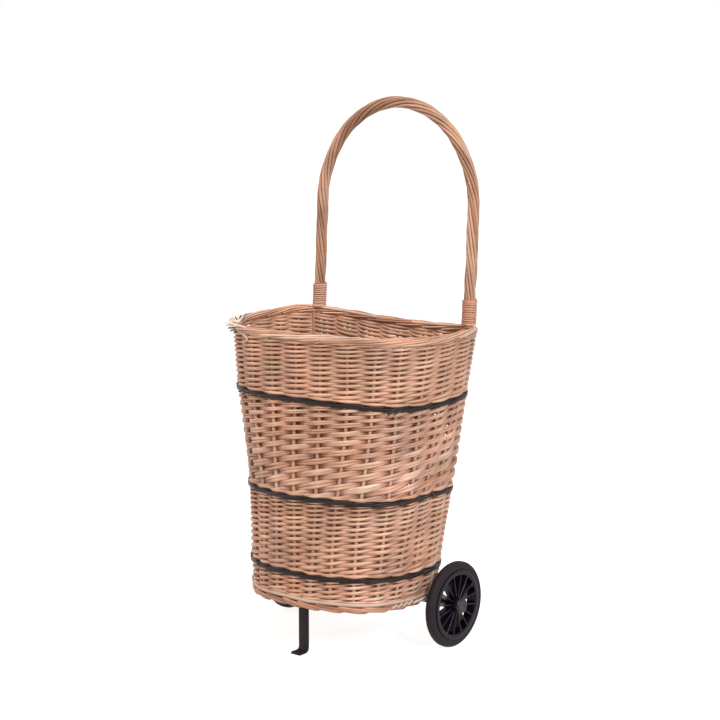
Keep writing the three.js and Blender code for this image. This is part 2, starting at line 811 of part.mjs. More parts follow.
// Centre the trolley on the origin, front to back, with the ground at Z = 0.
const box = new THREE.Box3().setFromObject(trolley);
assembly.position.y = -(box.min.y + box.max.y) / 2;

export default trolley;
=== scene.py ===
"""The looks of a wicker shopping trolley: woven willow, a twisted handle, wheels and steelwork.

Everything is in metres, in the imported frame: +Z up, -Y the front, +X the right seen from the front.
"""

from __future__ import annotations

import logging
import math
from dataclasses import dataclass, field
from enum import Enum, StrEnum

import bmesh
import bpy
import numpy as np
from mathutils import Euler, Matrix, Vector


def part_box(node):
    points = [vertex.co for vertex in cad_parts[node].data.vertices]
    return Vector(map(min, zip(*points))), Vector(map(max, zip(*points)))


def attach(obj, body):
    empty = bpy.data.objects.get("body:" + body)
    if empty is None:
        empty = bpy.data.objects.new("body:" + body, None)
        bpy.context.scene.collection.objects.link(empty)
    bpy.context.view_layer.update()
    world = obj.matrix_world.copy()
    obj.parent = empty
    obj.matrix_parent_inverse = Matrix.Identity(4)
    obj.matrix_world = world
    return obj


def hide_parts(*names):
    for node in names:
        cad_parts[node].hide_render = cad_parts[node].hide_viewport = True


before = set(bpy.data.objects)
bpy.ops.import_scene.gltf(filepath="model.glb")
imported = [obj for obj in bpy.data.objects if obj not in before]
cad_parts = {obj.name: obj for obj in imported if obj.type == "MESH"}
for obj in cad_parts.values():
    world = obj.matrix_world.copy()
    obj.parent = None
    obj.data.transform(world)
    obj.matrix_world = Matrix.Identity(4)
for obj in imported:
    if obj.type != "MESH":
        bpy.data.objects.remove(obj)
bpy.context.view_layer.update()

MM = 0.001
TAU = 2 * math.pi
SEED = 20
log = logging.getLogger("trolley")

Colour = tuple[float, float, float]
Spot = tuple[float, float, float]
Section = list[tuple[float, float]]
Tree = bpy.types.NodeTree
Node = bpy.types.Node
Sockets = bpy.types.NodeOutputs
Material = bpy.types.Material
Piece = bpy.types.Object
Shape = bmesh.types.BMesh


# ---- Building shader and geometry trees --------------------------------------------------


def feed(socket: bpy.types.NodeSocket, source: object) -> None:
    """Link a socket, or a node's first output, to an input, or set the input's value.

    Args:
        socket: The input.
        source: The socket, the node or the value.
    """
    if isinstance(source, Node):
        source = source.outputs[0]
    if isinstance(source, bpy.types.NodeSocket):
        socket.id_data.links.new(source, socket)
    else:
        socket.default_value = source


def give(node: Node, *feeds: object, **named: object) -> Node:
    """Give a node its properties and inputs.

    Args:
        node: The node.
        feeds: What its first inputs take, in order.
        named: Properties of the node, or what the input of that name takes.

    Returns:
        The same node.
    """
    for name, value in named.items():
        if hasattr(node, name):
            setattr(node, name, value)
        else:
            feed(node.inputs[name.replace("_", " ")], value)
    for socket, value in zip(node.inputs, feeds):
        feed(socket, value)
    return node


def put(tree: Tree, kind: str, *feeds: object, **named: object) -> Node:
    """Add a node to a tree, with its properties and inputs as give takes them."""
    return give(tree.nodes.new(kind), *feeds, **named)


def figure(tree: Tree, operation: str, *feeds: object) -> Node:
    """Add a node that works out a number."""
    return put(tree, "ShaderNodeMath", *feeds, operation=operation)


def remap(tree: Tree, source: object, low: float, high: float, start: float, end: float) -> Node:
    """Add a node that moves values between low and high to lie between start and end."""
    return put(tree, "ShaderNodeMapRange", source, low, high, start, end)


def opaque(colour: Colour) -> tuple[float, float, float, float]:
    """A colour with full alpha."""
    return (*colour, 1.0)


def new_material(name: str) -> tuple[Material, Tree, Node]:
    """Start a material: the material itself, its tree and its skin shader.

    Args:
        name: The material's name.

    Returns:
        The three of them.
    """
    made = bpy.data.materials.new(name)
    made.use_nodes = True
    return made, made.node_tree, made.node_tree.nodes["Principled BSDF"]


# ---- Finishes ----------------------------------------------------------------------------


@dataclass(frozen=True)
class WillowFinish:
    """Peeled, boiled or dyed willow rod: streaked along its length, each rod of its own shade.

    Attributes:
        name: The material's name.
        shades: Colours from the darkest rods to the palest.
        roughness: Of the rod's skin.
        streak: How far the streaks along a rod darken it, from 0 to 1.
        patch: How far broad patches of the weave darken it, from 0 to 1.
        grain: Strength of the bump along the rod.
        gloss: The skin's specular level.
        crevice_shade: Tint of the painted shade: how much of each colour a rod loses on the side that
            faces the stakes, where its neighbours shade it; a painted highlight gains it back.
        crown: Painted highlight: how much of that colour a rod's outermost side gains, most
            where it passes over a stake and catches the light.
        edge: Painted shade: how much of it is lost along its upper and lower sides, where the
            rods shade each other.
        depth: How fast the painted shade deepens from a rod's outer side to its inner one.
        fibre: How fast the streaks change along a rod.
        apart: How far they move along it with the rod's shade, so that no two rods match.
        streak_scale: Noise scale of the streaks across a rod.
        patch_scale: Noise scale of the patches.
    """

    name: str
    shades: tuple[Colour, ...]
    roughness: float = 0.43
    streak: float = 0.4
    patch: float = 0.25
    grain: float = 0.25
    gloss: float = 0.5
    # The painted shade and highlight, which follow the rods' front attribute.
    crevice_shade: Colour = (0.44, 0.66, 0.69)
    crown: float = 0.3
    edge: float = 0.3
    depth: float = 1.15
    fibre: float = 11.0
    apart: float = 57.0
    streak_scale: float = 2.6
    patch_scale: float = 14.0

    def material(self) -> Material:
        """Build the material, which reads the rods' own attributes.

        Returns:
            The material.
        """
        made, tree, skin = new_material(self.name)
        front, tone, along = (
            put(tree, "ShaderNodeAttribute", attribute_name=name).outputs["Fac"]
            for name in ("front", "tone", "along")
        )
        ring = put(tree, "ShaderNodeAttribute", attribute_name="ring").outputs["Vector"]
        across = put(tree, "ShaderNodeSeparateXYZ", ring).outputs
        moved = figure(tree, "MULTIPLY", tone, self.apart)
        way = figure(tree, "MULTIPLY_ADD", along, self.fibre, moved)
        fibre = put(tree, "ShaderNodeCombineXYZ", across["X"], across["Y"], way)
        streaks = put(
            tree, "ShaderNodeTexNoise", fibre, Scale=self.streak_scale, Detail=3.0, Roughness=0.5
        )
        place = put(tree, "ShaderNodeTexCoord").outputs["Object"]
        patches = put(
            tree, "ShaderNodeTexNoise", place, Scale=self.patch_scale, Detail=2.0, Roughness=0.5
        )
        worn = remap(tree, patches, 0.35, 0.65, 1 - self.patch, 1 + self.patch * 0.35)
        lined = remap(tree, streaks, 0.3, 0.68, 1 - self.streak, 1 + self.streak * 0.3)
        shade = figure(tree, "MULTIPLY", worn, lined)
        ramp = put(tree, "ShaderNodeValToRGB", tone)
        self._fill(ramp.color_ramp)
        dressed = put(tree, "ShaderNodeVectorMath", ramp, operation="SCALE", Scale=shade)
        # Painted shade and highlight: darker on the side that faces the stakes and along the upper
        # and lower sides, paler on the outermost side, as light and shade fall on a rod.
        inwards = figure(tree, "MULTIPLY", front, -self.depth)
        sides = figure(tree, "MULTIPLY", figure(tree, "ABSOLUTE", front), self.edge)
        turned = figure(tree, "MULTIPLY_ADD", inwards, across["X"], sides)
        lost = figure(tree, "MAXIMUM", turned, -self.crown)
        loss = tuple(-part for part in self.crevice_shade)
        painted_light = put(
            tree, "ShaderNodeVectorMath", lost, loss, (1.0, 1.0, 1.0), operation="MULTIPLY_ADD"
        )
        colour_with_painted_light = put(tree, "ShaderNodeVectorMath", dressed, painted_light, operation="MULTIPLY")
        give(
            skin,
            Base_Color=colour_with_painted_light,
            Roughness=remap(tree, streaks, 0.3, 0.7, self.roughness + 0.1, self.roughness - 0.08),
            Normal=put(
                tree, "ShaderNodeBump", Strength=self.grain, Distance=0.6 * MM, Height=streaks
            ),
            Specular_IOR_Level=self.gloss,
        )
        return made

    def _fill(self, ramp: bpy.types.ColorRamp) -> None:
        """Spread the shades evenly over the ramp.

        Args:
            ramp: The ramp to fill.
        """
        while len(ramp.elements) < len(self.shades):
            ramp.elements.new(0.5)
        for i, shade in enumerate(self.shades):
            ramp.elements[i].position = i / (len(self.shades) - 1)
            ramp.elements[i].color = opaque(shade)


@dataclass(frozen=True)
class HardFinish:
    """Paint, plate, rubber or moulded plastic, with fine grain and broad smudges.

    Attributes:
        name: The material's name.
        colour: Of the clean surface.
        dust: Of the worn or dusty patches.
        roughness: Of the clean surface.
        metallic: 1 for bare or plated metal.
        gloss: The surface's specular level.
        dusty: How much of the dust's colour shows, from 0 to 1.
        grain_size: Across one grain of the bump, in metres.
        grain: Strength of the bump.
        smudge_scale: Noise scale of the smudges.
    """

    name: str
    colour: Colour
    dust: Colour
    roughness: float
    metallic: float = 0.0
    gloss: float = 0.3
    dusty: float = 0.25
    grain_size: float = 1.5 * MM
    grain: float = 0.1
    smudge_scale: float = 38.0

    def material(self) -> Material:
        """Build the material on the object's own coordinates.

        Returns:
            The material.
        """
        made, tree, skin = new_material(self.name)
        place = put(tree, "ShaderNodeTexCoord").outputs["Object"]
        smudge = put(
            tree, "ShaderNodeTexNoise", place, Scale=self.smudge_scale, Detail=5.0, Roughness=0.65
        )
        grain = put(tree, "ShaderNodeTexNoise", place, Scale=1 / self.grain_size, Detail=2.0)
        amount = remap(tree, smudge, 0.42, 0.75, 0.0, self.dusty)
        blend = put(tree, "ShaderNodeMix", amount, data_type="RGBA")
        # The colour sockets of this node share their names with others, so they go by number.
        feed(blend.inputs[6], opaque(self.colour))
        feed(blend.inputs[7], opaque(self.dust))
        give(
            skin,
            Base_Color=blend.outputs[2],
            Roughness=remap(tree, smudge, 0.3, 0.7, self.roughness - 0.06, self.roughness + 0.1),
            Normal=put(
                tree, "ShaderNodeBump", Strength=self.grain, Distance=0.3 * MM, Height=grain
            ),
            Metallic=self.metallic,
            Specular_IOR_Level=self.gloss,
        )
        return made


# Shades of rod and cane, from the darkest to the palest.
WILLOW = ((0.42, 0.17, 0.09), (0.57, 0.285, 0.178), (0.68, 0.39, 0.268), (0.85, 0.62, 0.49))
HANDLE = ((0.37, 0.165, 0.094), (0.52, 0.29, 0.182), (0.63, 0.38, 0.264), (0.80, 0.57, 0.45))
DYED = ((0.008, 0.004, 0.004), (0.019, 0.009, 0.008), (0.058, 0.032, 0.028))
CANE = ((0.46, 0.30, 0.23), (0.56, 0.42, 0.35), (0.65, 0.52, 0.45))
# The darkest cut-end shade is painted shade for the gaps between the pale ends.
CUT_AND_GAP_SHADE = ((0.025, 0.012, 0.008), (0.50, 0.34, 0.24), (0.95, 0.86, 0.76))
# The clean surface and the dust on it.
PAINT = ((0.016, 0.010, 0.012), (0.042, 0.031, 0.032))
ZINC = ((0.55, 0.56, 0.58), (0.36, 0.35, 0.34))
RUBBER = ((0.013, 0.008, 0.011), (0.042, 0.031, 0.036))
PLASTIC = ((0.006, 0.004, 0.011), (0.014, 0.009, 0.020))
CAP = ((0.018, 0.012, 0.012), (0.045, 0.034, 0.032))


class Finishes:
    """The trolley's materials, one for each finish."""

    def __init__(self) -> None:
        """Build every material once."""
        self.willow = WillowFinish("peeled_willow", WILLOW, 0.4, gloss=0.6).material()
        self.handle = WillowFinish("handle_willow", HANDLE, 0.46, grain=0.1).material()
        self.dark = WillowFinish("dyed_willow", DYED, 0.38, 0.7, 0.15, gloss=0.24).material()
        self.cut = WillowFinish("cut_rod_ends_and_gap_shade", CUT_AND_GAP_SHADE, 0.5, 0.15, 0.1).material()
        self.cane = WillowFinish("flat_cane", CANE, 0.5, 0.15, 0.15).material()
        self.paint = HardFinish("black_paint", *PAINT, 0.42, gloss=0.18).material()
        self.zinc = HardFinish("zinc_plate", *ZINC, 0.34, 1.0, gloss=0.5).material()
        self.rubber = HardFinish("tyre_rubber", *RUBBER, 0.64, gloss=0.2, dusty=0.4).material()
        self.plastic = HardFinish("wheel_plastic", *PLASTIC, 0.24, gloss=0.13).material()
        self.cap = HardFinish("cap_plastic", *CAP, 0.36).material()


# ---- Rods: paths that a geometry tree sweeps ---------------------------------------------


@dataclass
class Rod:
    """One willow rod or strand.

    Attributes:
        points: Its centre line, one row for each point.
        girth: Its radius, all along or at each point.
        tone: Its shade, from 0, dark, to 1, pale.
        closed: Whether it joins up with itself.
        front: How far it lies in front of the weave's middle, from -1 to 1, at each point. The
        willow material paints shade and highlight on the rod from it.
    """

    points: np.ndarray
    girth: np.ndarray | float
    tone: float
    closed: bool = False
    front: np.ndarray | float = 0.0


def new_tree(name: str, inputs: dict[str, str], output: str) -> tuple[Tree, Sockets]:
    """Start a geometry tree.

    Args:
        name: The tree's name.
        inputs: The kind of each input, by the input's name.
        output: The name of the shape that it gives.

    Returns:
        The tree, and its inputs by name.
    """
    tree = bpy.data.node_groups.new(name, "GeometryNodeTree")
    for label, kind in inputs.items():
        tree.interface.new_socket(label, in_out="INPUT", socket_type=f"NodeSocket{kind}")
    tree.interface.new_socket(output, in_out="OUTPUT", socket_type="NodeSocketGeometry")
    return tree, put(tree, "NodeGroupInput").outputs


def end_tree(tree: Tree, shape: Node, finish: object) -> Tree:
    """End a geometry tree: make every copy real and give the whole its material.

    Args:
        tree: The geometry tree.
        shape: Its last shape.
        finish: The material, as a socket.

    Returns:
        The tree.
    """
    whole = put(tree, "GeometryNodeRealizeInstances", Geometry=shape)
    dressed = put(tree, "GeometryNodeSetMaterial", Geometry=whole, Material=finish)
    put(tree, "NodeGroupOutput", dressed)
    return tree


def mark(tree: Tree, shape: Node, kind: str, name: str, value: object) -> Node:
    """Add a node that stores an attribute at a shape's points."""
    node = put(tree, "GeometryNodeStoreNamedAttribute", data_type=kind, domain="POINT")
    return give(node, Geometry=shape, Name=name, Value=value)


def rod_tree() -> Tree:
    """Build the geometry tree that turns rod paths into round rods.

    Returns:
        The tree.
    """
    inputs = {
        "Paths": "Geometry",
        "Sides": "Int",
        "Flatness": "Float",
        "Level": "Bool",
        "Unevenness": "Float",
        "Seed": "Int",
        "Finish": "Material",
    }
    tree, given = new_tree("rods_along_paths", inputs, "Rods")
    lumps = put(tree, "ShaderNodeTexNoise", noise_dimensions="4D", Scale=55.0, Detail=1.0)
    give(lumps, W=given["Seed"])
    centred = figure(tree, "SUBTRACT", lumps, 0.5)
    swell = figure(tree, "MULTIPLY_ADD", centred, given["Unevenness"], 1.0)
    girth = put(tree, "GeometryNodeInputNamedAttribute", data_type="FLOAT", Name="girth")
    radius = figure(tree, "MULTIPLY", girth, swell)
    curve = put(tree, "GeometryNodeMeshToCurve", Mesh=given["Paths"])
    level = put(tree, "GeometryNodeSetCurveNormal", mode="Z_UP", Curve=curve)
    give(level, Selection=given["Level"])
    length = put(tree, "GeometryNodeSplineParameter").outputs["Length"]
    marked = mark(tree, level, "FLOAT", "along", length)
    circle = put(tree, "GeometryNodeCurvePrimitiveCircle", Resolution=given["Sides"], Radius=1.0)
    squeeze = put(tree, "ShaderNodeCombineXYZ", given["Flatness"], 1.0, 1.0)
    oval = put(tree, "GeometryNodeTransform", Geometry=circle, Scale=squeeze)
    ringed = mark(tree, oval, "FLOAT_VECTOR", "ring", put(tree, "GeometryNodeInputPosition"))
    sweep = put(tree, "GeometryNodeCurveToMesh", Curve=marked, Profile_Curve=ringed)
    give(sweep, Scale=radius, Fill_Caps=True)
    smooth = put(tree, "GeometryNodeSetShadeSmooth", Geometry=sweep)
    return end_tree(tree, smooth, given["Finish"])


def ring_tree() -> Tree:
    """Build the geometry tree that repeats one shape round the X axis.

    Returns:
        The tree.
    """
    inputs = {"Shape": "Geometry", "Count": "Int", "First Turn": "Float", "Finish": "Material"}
    tree, given = new_tree("repeat_round_axis", inputs, "Ring")
    line = put(tree, "GeometryNodeMeshLine", Count=given["Count"], Offset=(0, 0, 0))
    step = figure(tree, "DIVIDE", TAU, given["Count"])
    order = put(tree, "GeometryNodeInputIndex")
    turn = figure(tree, "MULTIPLY_ADD", order, step, given["First Turn"])
    angles = put(tree, "ShaderNodeCombineXYZ", turn)
    copies = put(tree, "GeometryNodeInstanceOnPoints", Points=line, Instance=given["Shape"])
    give(copies, Rotation=angles)
    return end_tree(tree, copies, given["Finish"])


def linked(name: str, data: bpy.types.ID) -> Piece:
    """Add an object to the scene.

    Args:
        name: The object's name.
        data: Its mesh, lamp or camera.

    Returns:
        The object.
    """
    thing = bpy.data.objects.new(name, data)
    bpy.context.scene.collection.objects.link(thing)
    return thing


def grown(name: str, mesh: bpy.types.Mesh, tree: Tree, values: dict[str, object]) -> Piece:
    """Run a geometry tree on a mesh and keep the result as a plain mesh.

    Args:
        name: The new piece's name.
        mesh: What the tree starts from.
        tree: The geometry tree.
        values: The tree's inputs, by name.

    Returns:
        The finished object, with no modifier on it.
    """
    seedling = linked(name + "_paths", mesh)
    modifier = seedling.modifiers.new("grow", "NODES")
    modifier.node_group = tree
    for item in tree.interface.items_tree:
        if item.in_out == "INPUT" and item.name in values:
            modifier[item.identifier] = values[item.name]
    seedling.update_tag()
    graph = bpy.context.evaluated_depsgraph_get()
    made = bpy.data.meshes.new_from_object(
        seedling.evaluated_get(graph), preserve_all_data_layers=True, depsgraph=graph
    )
    made.name = name
    bpy.data.objects.remove(seedling)
    return linked(name, made)


def settle(piece: Piece, slot: str, *nodes: str, body: str = "root") -> Piece:
    """Let a piece ride on the frame in place of its CAD nodes, and report it.

    Args:
        piece: The finished piece.
        slot: The material slot that it belongs to; not used.
        nodes: The CAD nodes that it stands for.
        body: The body that it moves with.

    Returns:
        The same piece.
    """
    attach(piece, body)
    if nodes:
        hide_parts(*nodes)
    log.info("%s: %d faces", piece.name, len(piece.data.polygons))
    return piece


class Loom:
    """Sweeps bundles of rods into pieces, all with the same geometry tree."""

    def __init__(self) -> None:
        """Build the tree once."""
        self.tree = rod_tree()
        self.dice = np.random.default_rng(SEED)

    def tones(self, count: int, middle: float = 0.55, spread: float = 0.22) -> np.ndarray:
        """Shades for a number of rods, most near the middle one."""
        return np.clip(self.dice.normal(middle, spread, count), 0.0, 1.0)

    def sweep(
        self,
        name: str,
        rods: list[Rod],
        finish: Material,
        sides: int = 8,
        uneven: float = 0.22,
        flatness: float | None = None,
    ) -> Piece:
        """Make one piece from many rods.

        Args:
            name: The piece's name.
            rods: The rods' paths, sizes and shades.
            finish: Their material.
            sides: Faces round each rod.
            uneven: How much a rod swells and thins along its length.
            flatness: Depth of a rod's section as a share of its height, for rods that lie
                level. Without it, rods are round.

        Returns:
            The finished piece.
        """
        counts = [len(rod.points) for rod in rods]
        starts = np.concatenate(([0], np.cumsum(counts)))
        edges: list[tuple[int, int]] = []
        for rod, first, count in zip(rods, starts, counts):
            edges += [(first + i, first + i + 1) for i in range(count - 1)]
            if rod.closed:
                edges.append((first + count - 1, first))
        mesh = bpy.data.meshes.new(name + "_paths")
        mesh.from_pydata(np.vstack([rod.points for rod in rods]).tolist(), edges, [])
        for label in ("tone", "girth", "front"):
            rows = [np.broadcast_to(getattr(rod, label), len(rod.points)) for rod in rods]
            layer = mesh.attributes.new(label, "FLOAT", "POINT")
            layer.data.foreach_set("value", np.concatenate(rows).astype(np.float32))
        values = {
            "Sides": sides,
            "Flatness": flatness or 1.0,
            "Level": flatness is not None,
            "Unevenness": uneven,
            "Seed": SEED,
            "Finish": finish,
        }
        return grown(name, mesh, self.tree, values)


# ---- Meshes made one by one --------------------------------------------------------------


def shown(name: str, shape: Shape, finish: Material, crease: float | None = None) -> Piece:
    """Turn a shape into a smooth-shaded object.

    Args:
        name: The object's name.
        shape: Its shape, which is used up.
        finish: Its material.
        crease: The angle in degrees past which an edge stays sharp.

    Returns:
        The object.
    """
    bmesh.ops.recalc_face_normals(shape, faces=shape.faces)
    mesh = bpy.data.meshes.new(name)
    shape.to_mesh(mesh)
    shape.free()
    mesh.shade_smooth()
    mesh.materials.append(finish)
    if crease:
        mesh.set_sharp_from_angle(angle=math.radians(crease))
    return linked(name, mesh)


def lathe(section: Section, segments: int, closed: bool = False) -> Shape:
    """Turn a half section about the X axis.

    Args:
        section: Points as (x, radius). An open one starts and ends on the axis.
        segments: Steps round the axis.
        closed: Whether the section joins up with itself, as a ring's does.

    Returns:
        The closed turned shape.
    """
    shape = bmesh.new()
    rings = []
    for x, radius in section:
        turns = [TAU * i / segments for i in range(segments if radius > 0 else 1)]
        spots = [(x, radius * math.cos(turn), radius * math.sin(turn)) for turn in turns]
        rings.append([shape.verts.new(spot) for spot in spots])
    for low, high in zip(rings, rings[1:] + rings[:1] if closed else rings[1:]):
        for i in range(segments):
            ends = ((low, i), (low, i + 1), (high, i + 1), (high, i))
            corners = list(dict.fromkeys(ring[step % len(ring)] for ring, step in ends))
            if len(corners) > 2:
                shape.faces.new(corners)
    return shape


def rounded(corners: Section, radius: float, steps: int = 3) -> Section:
    """Round the inner corners of an open outline, leaving its two ends as they are.

    Args:
        corners: The outline's points.
        radius: How far from a corner its rounding starts, where there is room.
        steps: Steps of each rounding.

    Returns:
        The rounded outline.
    """
    points = [Vector(corner) for corner in corners]
    outline = [tuple(points[0])]
    for before, here, after in zip(points, points[1:], points[2:]):
        reach = min(radius, (here - before).length / 2, (after - here).length / 2)
        start = here + (before - here).normalized() * reach
        end = here + (after - here).normalized() * reach
        for share in (k / steps for k in range(steps + 1)):
            outline.append(tuple(start.lerp(here, share).lerp(here.lerp(end, share), share)))
    outline.append(tuple(points[-1]))
    return outline


def softened(node: str, bevel: float) -> Shape:
    """Copy a CAD node's shape with its edges rounded.

    Args:
        node: The CAD node to copy.
        bevel: Width of the rounding.

    Returns:
        The shape.
    """
    shape = bmesh.new()
    shape.from_mesh(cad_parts[node].data)
    bmesh.ops.remove_doubles(shape, verts=shape.verts, dist=1e-6)
    flat = math.radians(1.5)
    bmesh.ops.dissolve_limit(shape, angle_limit=flat, verts=shape.verts, edges=shape.edges)
    sharp = [edge for edge in shape.edges if edge.calc_face_angle(0) > math.radians(30)]
    how = {"segments": 2, "profile": 0.6, "affect": "EDGES", "clamp_overlap": True}
    bmesh.ops.bevel(shape, geom=sharp, offset=bevel, **how)
    return shape


# ---- The wall's outline, read from the frame ---------------------------------------------


def levels(node: str) -> tuple[float, float]:
    """A CAD node's lowest and highest level."""
    low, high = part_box(node)
    return low.z, high.z


@dataclass(frozen=True)
class Hand:
    """How a maker's hand strays from the true outline.

    Attributes:
        rises: For the foot, the three dark bands and the rim, how far the weave rises or dips
            at every second stake, from the middle of the front, in millimetres.
        bulge: How far the wall waves in and out.
        sway: How far a stake leans to the side, in stake spacings.
    """

    rises: tuple[tuple[float, ...], ...] = (
        (2.8, 2.3, -0.4, -2.0, -3.0, 0.0, 0.0, 0.0, 0.0, 0.0, -1.0, 0.0),
        (2.5, 2.0, 1.2, -1.5, -2.5, 0.0, 0.0, 0.0, 0.0, -1.0, -2.0, 0.0),
        (-1.5, 0.7, -0.5, 0.3, -3.0, 0.0, 1.0, 0.0, 0.0, -1.0, -2.3, -2.5),
        (2.5, 3.0, -2.0, -3.0, 1.0, 0.0, -1.0, 0.0, 0.0, 0.0, -0.8, 0.5),
        (3.5, 5.5, 4.5, 2.5, 2.0, -5.0, -6.0, -2.0, 1.5, 1.5, 0.0, 0.0),
    )
    bulge: float = 1.0 * MM
    sway: float = 0.05

    def rise(self, stake: np.ndarray, height: np.ndarray, known: list[float]) -> np.ndarray:
        """How far the weave rises at each place.

        Args:
            stake: How far round, counted in stakes from the middle of the front.
            height: Height of each place.
            known: The heights that the rows of rises stand for.

        Returns:
            The rise, smooth between the stakes and straight between the heights.
        """
        rows = np.array(self.rises) * MM
        count = rows.shape[1]
        at = np.mod(stake / 2, count)
        low = np.floor(at).astype(int)
        t = at - low
        before, here, after, last = (rows[:, (low + k) % count] for k in (-1, 0, 1, 2))
        cubic = 3 * (here - after) + last - before
        square = 2 * before - 5 * here + 4 * after - last
        smooth = here + 0.5 * t * (after - before + t * (square + t * cubic))
        level = np.clip(np.interp(height, known, np.arange(len(known))), 0, len(known) - 1.001)
        below = np.floor(level).astype(int)
        lower = np.take_along_axis(smooth, below[None], axis=0)[0]
        upper = np.take_along_axis(smooth, below[None] + 1, axis=0)[0]
        return lower + (upper - lower) * (level - below)

    def wander(self, turn: np.ndarray, share: np.ndarray) -> tuple[np.ndarray, np.ndarray]:
        """How far stakes lean and the wall bulges, each as two waves that slant round it.

        Args:
            turn: The angle round the wall.
            share: The height, from 0 at the foot to 1 at the rim.

        Returns:
            The lean in stake spacings, and the bulge.
        """
        lean = np.sin(3 * turn + 9 * share) + np.sin(7 * turn - 5 * share + 1.3)
        wave = np.sin(5 * turn + 7 * share) + np.sin(9 * turn - 11 * share)
        return self.sway * lean, self.bulge * wave


@dataclass
class WallOutline:
    """The basket's outline: a squarish ring whose front is rounder than its back.

    Attributes:
        stakes: How many stakes stand round the wall.
        thickness: Of the wall.
        widest: Where the basket is widest, as a share of its depth from the front.
        front_power: Squareness of the front at the foot and at the rim.
        back_power: Squareness of the back at the foot and at the rim.
        samples: Points at which the way round is measured.
        hand: How far the weaving strays.
    """

    stakes: int = 24
    thickness: float = 14 * MM
    widest: float = 0.54
    front_power: tuple[float, float] = (2.3, 2.7)
    back_power: tuple[float, float] = (3.7, 4.3)
    samples: int = 2881
    hand: Hand = field(default_factory=Hand)

    def __post_init__(self) -> None:
        """Read the rings' sizes from the frame and measure the way round."""
        rings = ("pale_cane_row", "dark_band_low", "dark_band_middle", "dark_band_top")
        rows = [self._read(node, level) for node in rings for level in levels(node)]
        self.table = np.array(sorted(rows))
        self.foot = levels("foot_border")[0]
        self.top = levels("rim_border")[1]
        self.heights = [sum(levels(node)) / 2 for node in (*rings, "rim_border")]
        self.angles = np.linspace(-math.pi / 2, 1.5 * math.pi, self.samples)
        middle = np.full(self.samples, levels("dark_band_middle")[0])
        ring = self.edge(middle, self.angles, 0.0)
        steps = np.linalg.norm(np.diff(ring, axis=0), axis=1)
        self.share = np.concatenate(([0], np.cumsum(steps)))
        self.spacing = self.share[-1] / self.stakes
        self.share = self.share / self.share[-1]

    @staticmethod
    def _read(node: str, level: float) -> tuple[float, ...]:
        """A level of a CAD ring, with the ring's half width, front and back there.

        Args:
            node: The ring.
            level: The height at which it is read.

        Returns:
            The level, the half width, the front and the back.
        """
        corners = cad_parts[node].data.vertices
        rim = [corner.co for corner in corners if abs(corner.co.z - level) < 0.01 * MM]
        across = [co.y for co in rim]
        return level, max(co.x for co in rim), min(across), max(across)

    def _widths(self, z: np.ndarray) -> tuple[np.ndarray, ...]:
        """Half width, front and back at each height, straight on past the first and last ring.

        Args:
            z: The heights.

        Returns:
            The three of them, each as long as z.
        """
        heights = self.table[:, 0]
        columns = []
        for column in self.table[:, 1:].T:
            value = np.interp(z, heights, column)
            low = (column[1] - column[0]) / (heights[1] - heights[0])
            high = (column[-1] - column[-2]) / (heights[-1] - heights[-2])
            value = np.where(z < heights[0], column[0] + (z - heights[0]) * low, value)
            value = np.where(z > heights[-1], column[-1] + (z - heights[-1]) * high, value)
            columns.append(value)
        return tuple(columns)

    def edge(self, z: np.ndarray, angle: np.ndarray, inset: float) -> np.ndarray:
        """Points of the true outline.

        Args:
            z: Their heights.
            angle: Their angles, from the right round to the back.
            inset: How far inwards they are moved.

        Returns:
            One row for each point.
        """
        half, front, back = self._widths(z)
        middle = front + (back - front) * self.widest
        share = (z - self.foot) / (self.top - self.foot)
        cos, sin = np.cos(angle), np.sin(angle)
        ahead = sin < 0
        low, high = (np.where(ahead, *powers) for powers in zip(self.front_power, self.back_power))
        power = 2 / (low + (high - low) * share)
        reach = np.where(ahead, middle - front, back - middle) - inset
        x = (half - inset) * np.sign(cos) * np.abs(cos) ** power
        y = middle + reach * np.sign(sin) * np.abs(sin) ** power
        return np.stack([x, y, z], axis=-1)

    def place(self, stake: np.ndarray, z: np.ndarray, out: np.ndarray) -> np.ndarray:
        """Points in the wall, as the maker's hand leaves them.

        Args:
            stake: How far round, counted in stakes from the middle of the front.
            z: Height.
            out: How far outside the wall's middle line.

        Returns:
            One row for each point.
        """
        stake, z, out = np.broadcast_arrays(np.asarray(stake, float), z, out)
        rise = (z - self.foot) / (self.top - self.foot)
        sway, bulge = self.hand.wander(stake / self.stakes * TAU, rise)
        share = np.mod((stake + sway) / self.stakes, 1.0)
        angle = np.interp(share, self.share, self.angles)
        height = z + self.hand.rise(stake, z, self.heights)
        here = self.edge(height, angle, self.thickness / 2)
        along = self.edge(height, angle + 1e-3, self.thickness / 2) - here
        along /= np.linalg.norm(along, axis=-1, keepdims=True)
        outwards = np.stack([along[..., 1], -along[..., 0], np.zeros_like(z)], axis=-1)
        return here + outwards * (out + bulge)[..., None]

    def all_round(self, steps: int) -> np.ndarray:
        """Places once round the wall, so many steps for each stake."""
        return np.arange(self.stakes * steps) / steps


class Climb(Enum):
    """Which way a strand rises as it goes round to the right."""

    UP = 1
    DOWN = -1


class Side(StrEnum):
    """A side of the trolley, seen from the front."""

    LEFT = "left"
    RIGHT = "right"


@dataclass
class Wickerwork:
    """What is woven round the outline.

    Attributes:
        outline: Where the wall lies.
        loom: What sweeps the rods.
        finishes: The trolley's materials.
    """

    outline: WallOutline
    loom: Loom
    finishes: Finishes


# ---- The woven basket --------------------------------------------------------------------


@dataclass(frozen=True)
class Siding:
    """A stretch of French randing: a rod or a pair for each stake, all climbing together.

    Attributes:
        node: The CAD ring that it stands for.
        butt: Height of one layer at the bottom, where the rods' thick ends are.
        tip: Height of one layer at the top.
        tone: Middle shade of its rods.
        together: Rods that lie side by side in each layer.
        fill: A rod's height as a share of its place, more than 1 where rods are pressed close.
    """

    node: str
    butt: float
    tip: float
    tone: float = 0.55
    together: int = 1
    fill: float = 1.27


